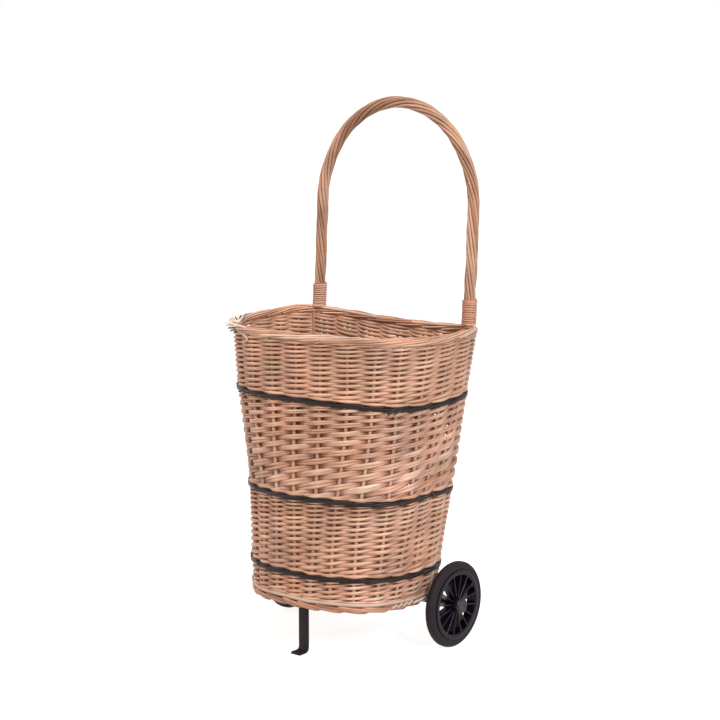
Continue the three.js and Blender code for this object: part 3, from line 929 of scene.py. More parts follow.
@dataclass(frozen=True)
class Wale:
    """A row of strands that pass in front of two stakes and behind one.

    Attributes:
        node: The CAD ring that it stands for.
        girth: The strands' radius.
        lift: How far a strand climbs above the row's middle, and falls below it.
        climb: Which way the strands rise.
        ends: Stakes at which cut ends stick out.
        end_turn: Which way they point, in degrees from the right round to the top.
        end_reach: Their length.
        tone: Middle shade of the strands.
        mixed: How widely their shades are spread.
    """

    node: str
    girth: float
    lift: float = 4.0 * MM
    climb: Climb = Climb.UP
    ends: tuple[float, ...] = ()
    end_turn: float = 215.0
    end_reach: float = 13 * MM
    tone: float = 0.42
    mixed: float = 0.3


@dataclass(frozen=True)
class Fan:
    """Cut ends that spread out of the rim border.

    Attributes:
        root: Where they come out: the stake, and in millimetres the rise above the border's
            middle and the way out from it.
        tips: Where their tips lie, in the same way.
    """

    root: Spot
    tips: tuple[Spot, ...]


@dataclass
class WovenBasket(Wickerwork):
    """The basket's wall: stakes, four sidings, three dark bands and two borders.

    Attributes:
        stake_girth: Radius of a stake.
        tuck: How far a siding runs on into the rows above and below it.
        snug: How much closer the rods are pressed at the snug stake than opposite it.
        snug_stake: Where they are pressed closest, at the back left.
        gap: How much looser they lie round the gap stake.
        gap_stake: Where they lie loosest, at the front left corner.
        gap_width: How far that looseness reaches, in stakes.
        tail: How much thinner a rod gets where its ends run on past the stretch.
        mixed: How widely a siding's shades are spread.
        odd: How widely its rods' sizes are spread.
        wobble: How far a rod strays up or down at a stake.
        swell: How much thicker a rod is over a stake than halfway between two stakes.
        tilt: How far a rod lies higher in front of a stake, and lower behind one.
        bend: Share of the rod's wave that runs three times as fast, which makes it straighter
            between the stakes and sharper at them.
        flatness: A woven rod's depth as a share of its height.
        steps: Points of a rod's path for each stake that it passes.
        leg_stake: Where a handle leg stands in the wall, in stakes from the front.
        leg_width: How far the weave widens on either side of it, in stakes.
        leg_room: How much wider the weave is there.
        strands: Strands in a wale.
        wale_core: Radius of the dark rod inside it, as a share of the strands' lift.
        end_lean: How far a wale's cut ends lean outwards, against 1 along the wall.
        end_stray: How far they stray from their way, in degrees.
        end_steps: Points of a cut end's path.
        border_span: Stakes that each rod of the rim border passes.
        border_turn: Where round the border's section such a rod starts, up from straight
            outwards, and how far it turns, in degrees.
        border_girth: Radius of its thinnest and its thickest rods, in millimetres.
        border_taper: How much such a rod thins to its tip.
        border_core: Radius of the two plain rods inside it.
        border_bulge: How far it stands out past the wall.
        border_dive: How far it dives under the others.
        border_beat: Stakes from one dive to the next.
        end_girth: Radius of the rim border's cut ends.
        fans: Those ends.
        loop: Points of the strand at a handle leg: the share of its length, the stake, the way
            out in millimetres, and the rise in half heights of the border.
        sidings: The plain stretches, from the foot up.
        foot: The border at the foot.
        bands: The dark bands.
    """

    stake_girth: float = 3.3 * MM
    tuck: float = 2.6 * MM
    snug: float = 0.36
    snug_stake: float = 14.0
    gap: float = 0.2
    gap_stake: float = 20.6
    gap_width: float = 1.3
    tail: float = 0.75
    mixed: float = 0.15
    odd: float = 0.06
    wobble: float = 0.4 * MM
    swell: float = 0.01
    tilt: float = 0.25 * MM
    bend: float = 0.11
    flatness: float = 0.8
    steps: int = 8
    leg_stake: float = 8.85
    leg_width: float = 0.45
    leg_room: float = 0.5
    strands: int = 3
    wale_core: float = 1.15
    end_lean: float = 0.45
    end_stray: float = 14.0
    end_steps: int = 7
    border_span: float = 8.0
    border_turn: tuple[float, float] = (-75.0, 275.0)
    border_girth: tuple[float, float] = (1.8, 2.3)
    border_taper: float = 0.25
    border_core: float = 4.6 * MM
    border_bulge: float = 1.5 * MM
    border_dive: float = 1.8 * MM
    border_beat: float = 1.9
    end_girth: float = 1.5 * MM
    fans: tuple[Fan, ...] = (
        Fan(
            (20.9, 8.0, -2.0),
            ((20.3, 8, 13), (20.1, 9, 11), (19.75, 10, 9), (19.45, 12, 1), (19.0, 10, -1)),
        ),
        Fan(
            (21.8, 5.0, 3.0),
            ((20.6, 7, 11), (20.4, 5, 18), (20.5, 1, 18), (20.6, -4, 15), (20.7, -8, 12)),
        ),
    )
    loop: tuple[tuple[float, ...], ...] = (
        (0.0, 11.4, -6.0, 0.5),
        (0.42, 9.1, -6.5, 0.75),
        (0.62, 8.35, -1.0, 0.95),
        (0.8, 7.7, 6.5, 0.6),
        (1.0, 6.6, 8.5, -0.1),
    )
    sidings: tuple[Siding, ...] = (
        Siding("siding_foot", 4.9 * MM, 4.3 * MM),
        Siding("siding_lower", 6.2 * MM, 3.4 * MM, fill=1.2),
        Siding("siding_upper", 11.6 * MM, 5.2 * MM, tone=0.56, together=2, fill=1.23),
        Siding("siding_rim", 5.1 * MM, 3.3 * MM),
    )
    foot: Wale = Wale(
        "foot_border",
        3.0 * MM,
        climb=Climb.DOWN,
        ends=tuple(np.linspace(4.75, 6.5, 7)),
        end_turn=38.0,
        end_reach=11 * MM,
        tone=0.1,
    )
    bands: tuple[Wale, ...] = (
        Wale("dark_band_low", 2.5 * MM, 3.5 * MM, ends=(6.35, 21.6), end_turn=25.0),
        Wale("dark_band_middle", 2.4 * MM, 3.3 * MM, ends=(6.5, 21.7, 21.9), end_turn=200.0),
        Wale("dark_band_top", 2.4 * MM, 3.2 * MM, ends=(3.85, 4.1, 21.5, 21.8), end_turn=206.0),
    )

    def build(self) -> list[Piece]:
        """Weave the whole wall.

        Returns:
            Its pieces.
        """
        pieces = [self.siding(siding) for siding in self.sidings]
        pieces += [self.wale(band, self.finishes.dark, "dark_willow") for band in self.bands]
        pieces.append(self.wale(self.foot, self.finishes.willow, "willow"))
        pieces += [self.cane_row(), self.rim_border(), self.cut_ends(), self.standing_stakes()]
        return pieces

    def siding(self, siding: Siding) -> Piece:
        """Weave one stretch of siding.

        Args:
            siding: The stretch.

        Returns:
            The piece.
        """
        low, high = levels(siding.node)
        low, high = low - self.tuck, high + self.tuck
        stakes = self.outline.stakes
        layers = round(2 * (high - low) / (siding.butt + siding.tip))
        stretch = (high - low) / (layers * (siding.butt + siding.tip) / 2)
        butt, tip = siding.butt * stretch, siding.tip * stretch
        passed = np.linspace(-1, layers + 1, (layers + 2) * self.steps + 1)
        inside = np.clip(passed, 0, layers)
        pitch = butt + (tip - butt) * inside / layers
        tail = 1 - self.tail * np.clip(np.abs(passed - inside), 0, 1)
        wave = (1 - self.bend) * np.cos(math.pi * passed) + self.bend * np.cos(3 * math.pi * passed)
        climb = low + butt * inside + (tip - butt) * inside**2 / (2 * layers) + wave * self.tilt
        tones = self.loom.tones(stakes * siding.together, siding.tone, self.mixed)
        sizes = self.loom.dice.normal(1.0, self.odd, len(tones))
        rods = []
        for rod, (tone, size) in enumerate(zip(tones, sizes)):
            k, level = divmod(rod, siding.together)
            here = np.mod(k + passed, stakes)
            opposite = 0.5 + 0.5 * np.cos(TAU * (here - self.snug_stake) / stakes)
            filled = siding.fill + self.snug * opposite
            filled -= self.gap * np.exp(-(((here - self.gap_stake) / self.gap_width) ** 2))
            girth = pitch / 2 / siding.together * filled * tail * size
            girth = girth * (1 + self.swell * np.cos(TAU * passed))
            climbed = climb + (level / siding.together - 0.5 + 0.5 / siding.together) * pitch
            height = np.clip(climbed, low + girth, high - girth * 0.5)
            wobble = self.loom.dice.normal(0, self.wobble, layers + 3)
            height = height + np.interp(passed, np.arange(-1, layers + 2), wobble)
            reach = self.outline.thickness / 2 - girth * self.flatness
            reach = reach * self._leg_room(k + passed)
            points = self.outline.place(k + passed, height, wave * reach)
            # The material paints shade from the front, which the cube gathers beside the stakes.
            rods.append(Rod(points, girth, tone, front=0.3 * wave + 0.7 * wave**3))
        willow = self.finishes.willow
        piece = self.loom.sweep(f"woven_{siding.node}", rods, willow, flatness=self.flatness)
        return settle(piece, "willow", siding.node)

    def _leg_room(self, stake: np.ndarray) -> np.ndarray:
        """How much wider the rods pass where a handle leg stands in the wall.

        Args:
            stake: Where, in stakes from the front.

        Returns:
            1 away from the legs.
        """
        half = self.outline.stakes / 2
        beside = np.abs(np.mod(stake + half, 2 * half) - half) - self.leg_stake
        return 1 + self.leg_room * np.exp(-((beside / self.leg_width) ** 2))

    def wale(self, wale: Wale, finish: Material, slot: str) -> Piece:
        """Weave one row of waling, with its core and its cut ends.

        Args:
            wale: The row.
            finish: Its material.
            slot: The material slot that it belongs to.

        Returns:
            The piece.
        """
        middle = sum(levels(wale.node)) / 2
        passed = self.outline.all_round(self.steps)
        ahead = self.strands - 1
        rods = []
        for strand, tone in enumerate(self.loom.tones(self.strands, wale.tone, wale.mixed)):
            phase = np.mod(passed - strand + 0.5, self.strands)
            front = np.clip(phase / ahead, 0, 1)
            back = np.clip(phase - ahead, 0, 1)
            rise = np.where(phase > ahead, 1 - 2 * back, 2 * front - 1)
            dive = np.cos(math.pi * np.clip(np.abs(phase - ahead - 0.5) / 0.75, 0, 1))
            out = -dive * (self.outline.thickness / 2 - wale.girth + 1 * MM)
            height = middle + wale.climb.value * rise * wale.lift
            points = self.outline.place(passed, height, out * self._leg_room(passed))
            rods.append(Rod(points, wale.girth, tone, closed=True))
        # A dark core closes the gaps between the strands, as painted shade in them.
        core = self.outline.place(passed, middle, 0.0)
        rods.append(Rod(core, wale.lift * self.wale_core, 0.08, closed=True))
        for end in wale.ends:
            stray = self.loom.dice.uniform(-self.end_stray, self.end_stray)
            turn = math.radians(wale.end_turn + stray)
            lean = Vector((math.cos(turn), self.end_lean, math.sin(turn)))
            start = (end, middle, 6.5 * MM)
            rods.append(self._cut_end(start, lean, wale.end_reach, wale.girth * 0.75))
        piece = self.loom.sweep(f"woven_{wale.node}", rods, finish, sides=10)
        return settle(piece, slot, wale.node)

    def _cut_end(self, start: Spot, lean: Vector, reach: float, girth: float) -> Rod:
        """A short pale cut end that sticks out of the weave.

        Args:
            start: Where it comes out: the stake, the height, and how far outside the wall's middle.
            lean: The way it points: along the wall to the right, outwards and up.
            reach: Its length.
            girth: Its radius.

        Returns:
            The end.
        """
        share = np.linspace(0, 1, self.end_steps)
        stake, height, out = start
        beside = self.outline.place(np.array([stake - 0.15, stake + 0.15]), height, 0.0)
        along = (beside[1] - beside[0]) / np.linalg.norm(beside[1] - beside[0])
        outwards = np.array([along[1], -along[0], 0])
        way = along * lean.x + outwards * lean.y + np.array([0, 0, lean.z])
        way = way / np.linalg.norm(way)
        points = self.outline.place(stake, height, out) + share[:, None] * reach * way
        return Rod(points, np.linspace(girth, girth * 0.85, self.end_steps), 0.98)

    def cane_row(self) -> Piece:
        """One flat pale cane round the outside, with a plain rod behind it.

        Returns:
            The piece.
        """
        low, high = levels("pale_cane_row")
        half = self.outline.thickness / 2
        passed = self.outline.all_round(self.steps)
        ripple = 0.5 * MM * np.cos(TAU * passed)
        rods = []
        for out, tone in ((half - 1.2 * MM, 0.6), (-half + 2.4 * MM, 0.3)):
            points = self.outline.place(passed, (low + high) / 2, out + ripple)
            rods.append(Rod(points, (high - low) / 2, tone, closed=True))
        piece = self.loom.sweep("flat_cane_row", rods, self.finishes.cane, 10, 0.1)
        return settle(piece, "pale_cane", "pale_cane_row")

    def rim_border(self) -> Piece:
        """The plaited border: each stake's rod laid along the rim, up the outside and over it.

        Returns:
            The piece.
        """
        low, high = levels("rim_border")
        middle, half_height = (low + high) / 2, (high - low) / 2
        half_width = self.outline.thickness / 2 + self.border_bulge
        start, sweep = (math.radians(angle) for angle in self.border_turn)
        thin, thick = self.border_girth
        share = np.linspace(0, 1, int(self.border_span * self.steps))
        passed = share * self.border_span
        turn = start + sweep * share
        rods = []
        for k, tone in enumerate(self.loom.tones(self.outline.stakes, 0.5, 0.26)):
            size, phase = self.loom.dice.uniform((thin, 0.0), (thick, 1.0))
            girth = size * MM * (1 - self.border_taper * share)
            beat = 0.5 - 0.5 * np.cos(TAU * (passed / self.border_beat + phase))
            dive = self.border_dive * beat
            out = np.cos(turn) * (half_width - girth - dive)
            height = middle + np.sin(turn) * (half_height - girth - dive)
            points = self.outline.place(k + passed, height, out)
            # The material paints shade and highlight on each rod from its way round the border.
            rods.append(Rod(points, girth, tone, front=np.cos(turn)))
        # Two plain rods inside keep the border from being seen through.
        for level in (-0.35, 0.3):
            core = self.outline.place(self.outline.all_round(4), middle + level * half_height, 0.0)
            rods.append(Rod(core, self.border_core, 0.25, closed=True))
        rods += self._leg_loops(middle, half_height)
        piece = self.loom.sweep("plaited_rim_border", rods, self.finishes.willow, flatness=0.95)
        return settle(piece, "willow", "rim_border")

    def _leg_loops(self, middle: float, half: float) -> list[Rod]:
        """A pair of strands at each handle leg, from the rim's inside over to its outside.

        Args:
            middle: Height of the border's middle.
            half: Half of the border's height.

        Returns:
            The strands.
        """
        share = np.linspace(0, 1, 48)
        past, stakes, outs, rises = (np.array(column) for column in zip(*self.loop))
        out = np.interp(share, past, outs) * MM
        rise = np.interp(share, past, rises) * half
        rods = []
        for side in (-1, 1):
            for shift in (0.0, 0.28):
                stake = np.interp(share, past, stakes - shift)
                points = self.outline.place(side * stake, middle + rise, out)
                rods.append(Rod(points, np.linspace(2.4, 1.9, 48) * MM, 0.9))
        return rods

    def cut_ends(self) -> Piece:
        """The rim border's pale cut ends, fanned over the front left corner, with a near-black rod
        sunk between each two as painted shade in the gap there.

        Returns:
            The piece.
        """
        middle = sum(levels("rim_border")) / 2
        rods = []
        for fan in self.fans:
            start = self._in_wall(fan.root, middle)
            last = len(fan.tips) - 1
            for k, share in enumerate(np.linspace(0, 1, 2 * last + 1)):
                tip = [np.interp(share * last, range(last + 1), row) for row in zip(*fan.tips)]
                # Every second rod is near black, shorter and sunk: painted shade in the gap.
                dark = k % 2
                reach = np.linspace(0, 1 - 0.12 * dark, self.end_steps)[:, None]
                sink = np.array([0, 0, -1.2 * MM * dark])
                points = start + (self._in_wall(tip, middle) - start) * reach + sink
                girth = np.linspace(self.end_girth, self.end_girth * 0.85, self.end_steps)
                rods.append(Rod(points, girth, 1.0 - dark))
        # One end curls down past the others.
        share = np.linspace(0, 1, 12)
        stake = 21.75 + 0.25 * np.sin(math.pi * share)
        curl = self.outline.place(stake, middle - (6 + 14 * share) * MM, 8 * MM + 3 * MM * share)
        rods.append(Rod(curl, 1.6 * MM, 0.62))
        return settle(self.loom.sweep("cut_rod_ends_and_gap_shade", rods, self.finishes.cut), "willow")

    def _in_wall(self, spot: Spot, middle: float) -> np.ndarray:
        """A point from its stake, its rise above a height and its way out, both in millimetres."""
        stake, rise, out = spot
        return self.outline.place(stake, middle + rise * MM, out * MM)

    def standing_stakes(self) -> Piece:
        """The upright stakes, from the foot border to the rim.

        Returns:
            The piece.
        """
        height = np.linspace(self.outline.foot + 4 * MM, self.outline.top - 6 * MM, 24)
        girth = np.linspace(self.stake_girth * 1.1, self.stake_girth * 0.9, len(height))
        rods = []
        for k, tone in enumerate(self.loom.tones(self.outline.stakes, 0.68, 0.1)):
            rods.append(Rod(self.outline.place(k, height, 0.0), girth, tone))
        piece = self.loom.sweep("willow_stakes", rods, self.finishes.willow)
        nodes = [f"stake_{k + 1:02d}" for k in range(self.outline.stakes)]
        return settle(piece, "willow", *nodes)


# ---- The floor ---------------------------------------------------------------------------


@dataclass
class WovenFloor(Wickerwork):
    """The basket's base: rods woven over three cross sticks.

    Attributes:
        girth: Radius of a rod.
        stick_girth: Radius of a cross stick.
        ring_girth: Radius of the ring that holds the rods' ends.
        stick_nodes: The cross sticks' CAD nodes.
    """

    girth: float = 2.4 * MM
    stick_girth: float = 3.0 * MM
    ring_girth: float = 3.2 * MM
    stick_nodes: tuple[str, ...] = ("floor_stick_front", "floor_stick_middle", "floor_stick_back")

    def __post_init__(self) -> None:
        """Read the sticks' boxes from the frame."""
        self.boxes = [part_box(node) for node in self.stick_nodes]

    def build(self) -> list[Piece]:
        """Weave the floor.

        Returns:
            Its pieces.
        """
        return [self.weave(), self.sticks()]

    def weave(self) -> Piece:
        """The rods that run from front to back over and under the sticks.

        Returns:
            The piece.
        """
        low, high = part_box("floor_weave")
        middle = (low.z + high.z) / 2
        spacing = (self.boxes[2][0].y - self.boxes[0][0].y) / 2
        first = (self.boxes[0][0].y + self.boxes[0][1].y) / 2
        angles = np.linspace(0, TAU, 721)
        edge = self.outline.edge(np.full(721, middle), angles, self.outline.thickness * 0.5)
        front, back = edge[angles > math.pi], edge[angles <= math.pi]
        places = np.arange(low.x + 2 * self.girth, high.x - self.girth, 1.8 * self.girth)
        rods = []
        for i, (x, tone) in enumerate(zip(places, self.loom.tones(len(places), 0.45))):
            start = np.interp(x, front[:, 0], front[:, 1]) + self.girth
            end = np.interp(-x, -back[:, 0], back[:, 1]) - self.girth
            y = np.linspace(start, end, 34)
            wave = np.cos(math.pi * ((y - first) / spacing + i))
            z = middle + wave * (high.z - low.z - 2.4 * self.girth) / 2
            rods.append(Rod(np.stack([np.full(34, x), y, z], axis=-1), self.girth, tone))
        inside = -self.outline.thickness / 2 - 2 * MM
        ring = self.outline.place(self.outline.all_round(6), middle, inside)
        rods.append(Rod(ring, self.ring_girth, 0.5, closed=True))
        piece = self.loom.sweep("woven_floor", rods, self.finishes.willow, uneven=0.15)
        return settle(piece, "willow", "floor_weave")

    def sticks(self) -> Piece:
        """The three cross sticks.

        Returns:
            The piece.
        """
        rods = []
        for low, high in self.boxes:
            middle = (low + high) / 2
            points = np.array([[x, middle.y, middle.z] for x in np.linspace(low.x, high.x, 30)])
            rods.append(Rod(points, self.stick_girth, 0.5))
        piece = self.loom.sweep("floor_sticks", rods, self.finishes.willow, sides=10)
        return settle(piece, "willow", *self.stick_nodes)


# ---- The handle --------------------------------------------------------------------------


@dataclass(frozen=True)
class Whipping:
    """Cane wound round one leg of the handle.

    Attributes:
        side: The leg.
        cane: The cane's radius.
        pitch: From one turn to the next.
        tone: The cane's shade. The right cane is darker partly for its own colour and partly as
        painted shade, for the lesser light on the right leg.
    """

    side: Side
    cane: float
    pitch: float
    tone: float


@dataclass
class TwistedHandle(Wickerwork):
    """The arch: rods twisted round a core, bound with cane where it enters the rim.

    Attributes:
        strands: Rods twisted round the core.
        lay: Length of one full turn of a strand.
        splay: How far every third strand sinks in at the feet, as a share of its way out.
        splay_reach: How far up from the feet it does.
        straight: Straight part of each leg above the rim.
        wrap: The handle's outer radius.
        core_share: The core's radius as a share of it.
        sunk: How far the whippings reach down into the rim border.
        ridge: How far the cane's hidden end lifts the turns that cross it.
        leg_rods: Rods of each leg that run on down inside the wall.
        leg_girth: Their radius.
        leg_stake: Where they stand, counted in stakes from the front.
        samples: Points at which the arch is measured.
        turn_steps: Points of a whipping's path in one turn.
        whippings: The cane round the two legs.
    """

    strands: int = 9
    lay: float = 270 * MM
    splay: float = 0.2
    splay_reach: float = 130 * MM
    straight: float = 190 * MM
    wrap: float = 10.7 * MM
    core_share: float = 0.66
    sunk: float = 6 * MM
    ridge: float = 0.7 * MM
    leg_rods: int = 3
    leg_girth: float = 2.7 * MM
    leg_stake: float = 8.78
    samples: int = 400
    turn_steps: int = 28
    # The right cane's darker shade is partly painted shade, for the lesser light on that leg.
    whippings: tuple[Whipping, ...] = (
        Whipping(Side.LEFT, 1.75 * MM, 4.2 * MM, 0.55),
        Whipping(Side.RIGHT, 1.3 * MM, 3.15 * MM, 0.35),
    )

    def build(self) -> list[Piece]:
        """Twist the handle and bind its feet.

        Returns:
            Its pieces.
        """
        return [self.arch(), self.core(), *(self.whipping(wound) for wound in self.whippings)]

    def _centre_line(self, count: int) -> tuple[np.ndarray, np.ndarray]:
        """The arch's centre line and its length at each point, from left to right.

        Args:
            count: How many points the line has.

        Returns:
            The points and the lengths.
        """
        low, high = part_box("handle_wrap")
        foot_low, foot_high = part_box("whipping_right")
        leg_x = (foot_low.x + foot_high.x) / 2
        foot_y = low.y + self.wrap
        top_y = high.y - self.wrap
        rise = high.z - self.wrap - low.z
        arch = rise - self.straight
        turn = np.linspace(math.pi, 0, self.samples)
        x = np.concatenate(([-leg_x], leg_x * np.cos(turn), [leg_x]))
        up = np.concatenate(([0], self.straight + arch * np.sin(turn), [0]))
        line = np.stack([x, foot_y + (top_y - foot_y) * up / rise, low.z + up], axis=-1)
        steps = np.linalg.norm(np.diff(line, axis=0), axis=1)
        lengths = np.concatenate(([0], np.cumsum(steps)))
        even = np.linspace(0, lengths[-1], count)
        line = np.stack([np.interp(even, lengths, line[:, i]) for i in range(3)], axis=-1)
        return line, even

    def _frames(self, line: np.ndarray) -> tuple[np.ndarray, np.ndarray]:
        """Two directions across the centre line: in the arch's plane and out of it.

        Args:
            line: The centre line.

        Returns:
            Both directions at each point.
        """
        tangent = np.gradient(line, axis=0)
        tangent /= np.linalg.norm(tangent, axis=1, keepdims=True)
        chord = line[-1] - line[0]
        crown = line[len(line) // 2] - line[0]
        normal = np.cross(chord, crown)
        normal = np.tile(normal / np.linalg.norm(normal), (len(line), 1))
        return np.cross(normal, tangent), normal

    def arch(self) -> Piece:
        """The twisted rods of the arch and the ends that run down inside the wall.

        Returns:
            The piece.
        """
        line, length = self._centre_line(260)
        across, normal = self._frames(line)
        share = math.sin(math.pi / self.strands)
        ring = self.wrap / (1 + share)
        foot = np.exp(-((np.minimum(length, length[-1] - length) / self.splay_reach) ** 2))
        rods = []
        for k, tone in enumerate(self.loom.tones(self.strands, 0.5)):
            # Waves of each rod's own keep the twist from looking machined.
            slack = 0.06 * np.sin(length * 21 + 2.4 * k) + 0.03 * np.sin(length * 47 + 5.1 * k)
            turn = TAU * (k / self.strands - length / self.lay) + slack
            thick = ring * share * (0.91 + 0.07 * np.sin(length * 9 + 1.7 * k * k))
            sunk = self.splay * foot * (k % 3 == 1)
            out = ring * (1 + 0.03 * np.sin(length * 33 + k) - sunk)
            aside = across * (out * np.cos(turn))[:, None]
            points = line + aside + normal * (out * np.sin(turn))[:, None]
            rods.append(Rod(points, thick, tone))
        rods += self._legs()
        piece = self.loom.sweep("twisted_handle", rods, self.finishes.handle, sides=12, uneven=0.12)
        return settle(piece, "willow_handle", "handle_wrap")

    def _legs(self) -> list[Rod]:
        """The rods of each leg that stand side by side inside the wall.

        Returns:
            The rods.
        """
        height = np.linspace(self.outline.foot + 14 * MM, self.outline.top + 2 * MM, 26)
        pace = 2.9 * self.leg_girth / self.outline.spacing
        rods = []
        for side in (-1, 1):
            for k in range(self.leg_rods):
                offset = (k - (self.leg_rods - 1) / 2) * pace
                points = self.outline.place(side * (self.leg_stake + offset), height, -1.8 * MM)
                rods.append(Rod(points, self.leg_girth, float(self.loom.tones(1)[0])))
        return rods

    def core(self) -> Piece:
        """The core rod, which shows only in the gaps between the twisted ones.

        Returns:
            The piece.
        """
        line, _ = self._centre_line(120)
        rod = Rod(line, self.wrap * self.core_share, 0.05)
        piece = self.loom.sweep("handle_core_rod", [rod], self.finishes.handle, 12)
        return settle(piece, "willow_handle", "handle_core")

    def whipping(self, wound: Whipping) -> Piece:
        """The cane wound round one leg where it meets the rim.

        Args:
            wound: The leg and its cane.

        Returns:
            The piece.
        """
        side, cane = wound.side, wound.cane
        low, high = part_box(f"whipping_{side}")
        line, _ = self._centre_line(self.samples)
        leg = (line if side is Side.LEFT else line[::-1])[: self.samples // 2]
        foot = low.z - self.sunk
        height = high.z - foot
        turns = height / wound.pitch
        steps = int(turns * self.turn_steps)
        share = np.linspace(0, 1, steps)
        wander = 0.04 * wound.pitch * np.sin(share * 23) * np.sin(math.pi * share)
        z = foot + cane + share * (height - 2 * cane) + wander
        centre = np.stack([np.interp(z, leg[:, 2], leg[:, i]) for i in range(3)], axis=-1)
        outer = (high.x - low.x) / 2
        angle = share * turns * TAU
        ridge = np.exp(-(((np.mod(angle + 0.25 + math.pi, TAU) - math.pi) / 0.2) ** 2))
        radius = outer - cane + 0.25 * MM * np.sin(angle * 0.37) + self.ridge * ridge
        ring = np.stack([np.cos(angle), np.sin(angle), 0 * angle], axis=-1)
        points = centre + ring * radius[:, None]
        girth = cane * (1 + 0.12 * np.sin(share * 31) + 0.25 * (share > 1 - 1.5 / turns))
        spine = centre[np.linspace(0, steps - 1, 12).astype(int)]
        # A front of 1 paints a highlight on the cane's outer side and shade on its inner side.
        rods = [Rod(points, girth, wound.tone, front=1.0), Rod(spine, outer - 1.5 * cane, 0.0)]
        piece = self.loom.sweep(f"cane_whipping_{side}", rods, self.finishes.willow, 10, 0.1, 0.9)
        return settle(piece, "willow", f"whipping_{side}")


# ---- Wheels ------------------------------------------------------------------------------


@dataclass
class SpokedWheel:
    """One wheel: a solid tyre on a moulded rim with thin radial fins.

    Attributes:
        side: Of the trolley.
        finishes: The trolley's materials.
        ring: The tree that repeats a fin round the axle.
        fins: How many fins there are.
        fin_thickness: Of one fin.
        fin_bead: Half the thickness of the bead along a fin's edges.
        rim_depth: How far the rim ring reaches in from the tyre's seat.
        set_back: How far the tyre's and the rim's outer faces lie inside the frame's.
        hub_radius: Of the hub.
        fin_width: Of a fin, along the axle.
        segments: Steps round the axle.
    """

    side: Side
    finishes: Finishes
    ring: Tree
    fins: int = 16
    fin_thickness: float = 1.7 * MM
    fin_bead: float = 1.15 * MM
    rim_depth: float = 7.8 * MM
    set_back: float = 3 * MM
    hub_radius: float = 12 * MM
    fin_width: float = 15 * MM
    segments: int = 96

    def __post_init__(self) -> None:
        """Read the wheel's place and sizes from the frame."""
        low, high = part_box(f"tyre_{self.side}")
        self.centre = (low + high) / 2
        self.outer = (high.z - low.z) / 2
        self.half = (high.x - low.x) / 2
        self.body = f"{self.side}_wheel"
        low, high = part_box(f"wheel_{self.side}")
        self.seat = (high.z - low.z) / 2
        right = self.side is Side.RIGHT
        self.turn = 0 if right else math.pi
        self.hub_out = (high.x - self.centre.x) if right else (self.centre.x - low.x)
        self.hub_in = (high.x - low.x) - self.hub_out

    def build(self) -> list[Piece]:
        """Make the wheel.

        Returns:
            Its pieces.
        """
        return [self.tyre(), self.rim(), self.spokes(), self.cap()]

    def _stand(self, shape: Shape) -> Shape:
        """Turn a shape to this side and move it to the wheel's centre.

        Args:
            shape: A shape that faces right.

        Returns:
            The same shape, moved.
        """
        stand = Matrix.Translation(self.centre) @ Matrix.Rotation(self.turn, 4, "Z")
        bmesh.ops.transform(shape, matrix=stand, verts=shape.verts)
        return shape

    def tyre(self) -> Piece:
        """The solid tyre, with a flat tread, round shoulders and a moulded line on its walls.

        Returns:
            The piece.
        """
        inwards = self._tyre_side(self.half)
        section = self._tyre_side(self.half - self.set_back)
        section += [(-x, radius) for x, radius in reversed(inwards[:-1])]
        shape = self._stand(lathe(section, self.segments, closed=True))
        piece = shown(f"rubber_tyre_{self.side}", shape, self.finishes.rubber, 50)
        return settle(piece, "wheel_rubber", f"tyre_{self.side}", body=self.body)

    def _tyre_side(self, wall: float) -> Section:
        """One side of the tyre's section, from its bead to the middle of the tread.

        Args:
            wall: How far its outer wall lies from the middle.

        Returns:
            The section's points.
        """
        bead = self.seat + 0.3 * MM
        corners = [
            (wall * 0.8, bead),
            (wall, bead + 4.5 * MM),
            (wall * 0.985, bead + 7.2 * MM),
            (wall * 0.93, bead + 7.6 * MM),
            (wall * 0.93, bead + 8.4 * MM),
            (wall * 0.955, bead + 8.8 * MM),
            (wall * 0.84, self.outer - 3.2 * MM),
            (wall * 0.45, self.outer - 0.2 * MM),
            (0.0, self.outer),
        ]
        return rounded(corners, 2.2 * MM)

    def _rim_side(self, half: float) -> Section:
        """One side of the rim ring's section, from the tyre's seat to the fins.

        Args:
            half: How far its lip lies from the middle.

        Returns:
            The section's points.
        """
        inner = self.seat - self.rim_depth
        corners = [
            (0.0, self.seat),
            (half - 2.6 * MM, self.seat),
            (half - 2.2 * MM, self.seat + 1.2 * MM),
            (half - 0.4 * MM, self.seat + 1.2 * MM),
            (half, self.seat - 1.5 * MM),
            (half, inner + 0.6 * MM),
            (half - 1.6 * MM, inner),
            (half - 3.2 * MM, inner + 1.6 * MM),
            (0.0, inner + 2.2 * MM),
        ]
        return rounded(corners, 0.7 * MM, 2)

    def rim(self) -> Piece:
        """The rim ring with its two lips, and the hub.

        Returns:
            The piece.
        """
        inwards = self._rim_side(self.half + 1 * MM)
        section = self._rim_side(self.half + 1 * MM - self.set_back)
        section += [(-x, radius) for x, radius in reversed(inwards[1:-1])]
        shape = lathe(section, self.segments, closed=True)
        corners = [
            (-self.hub_in, 0.0),
            (-self.hub_in, self.hub_radius - 2 * MM),
            (-self.half * 0.8, self.hub_radius),
            (self.hub_out, self.hub_radius),
            (self.hub_out, 0.0),
        ]
        hub = lathe(rounded(corners, 1.0 * MM, 2), 48)
        mesh = bpy.data.meshes.new("hub")
        hub.to_mesh(mesh)
        hub.free()
        shape.from_mesh(mesh)
        bpy.data.meshes.remove(mesh)
        piece = shown(f"wheel_rim_{self.side}", self._stand(shape), self.finishes.plastic, 45)
        return settle(piece, "wheel_plastic", f"wheel_{self.side}", body=self.body)

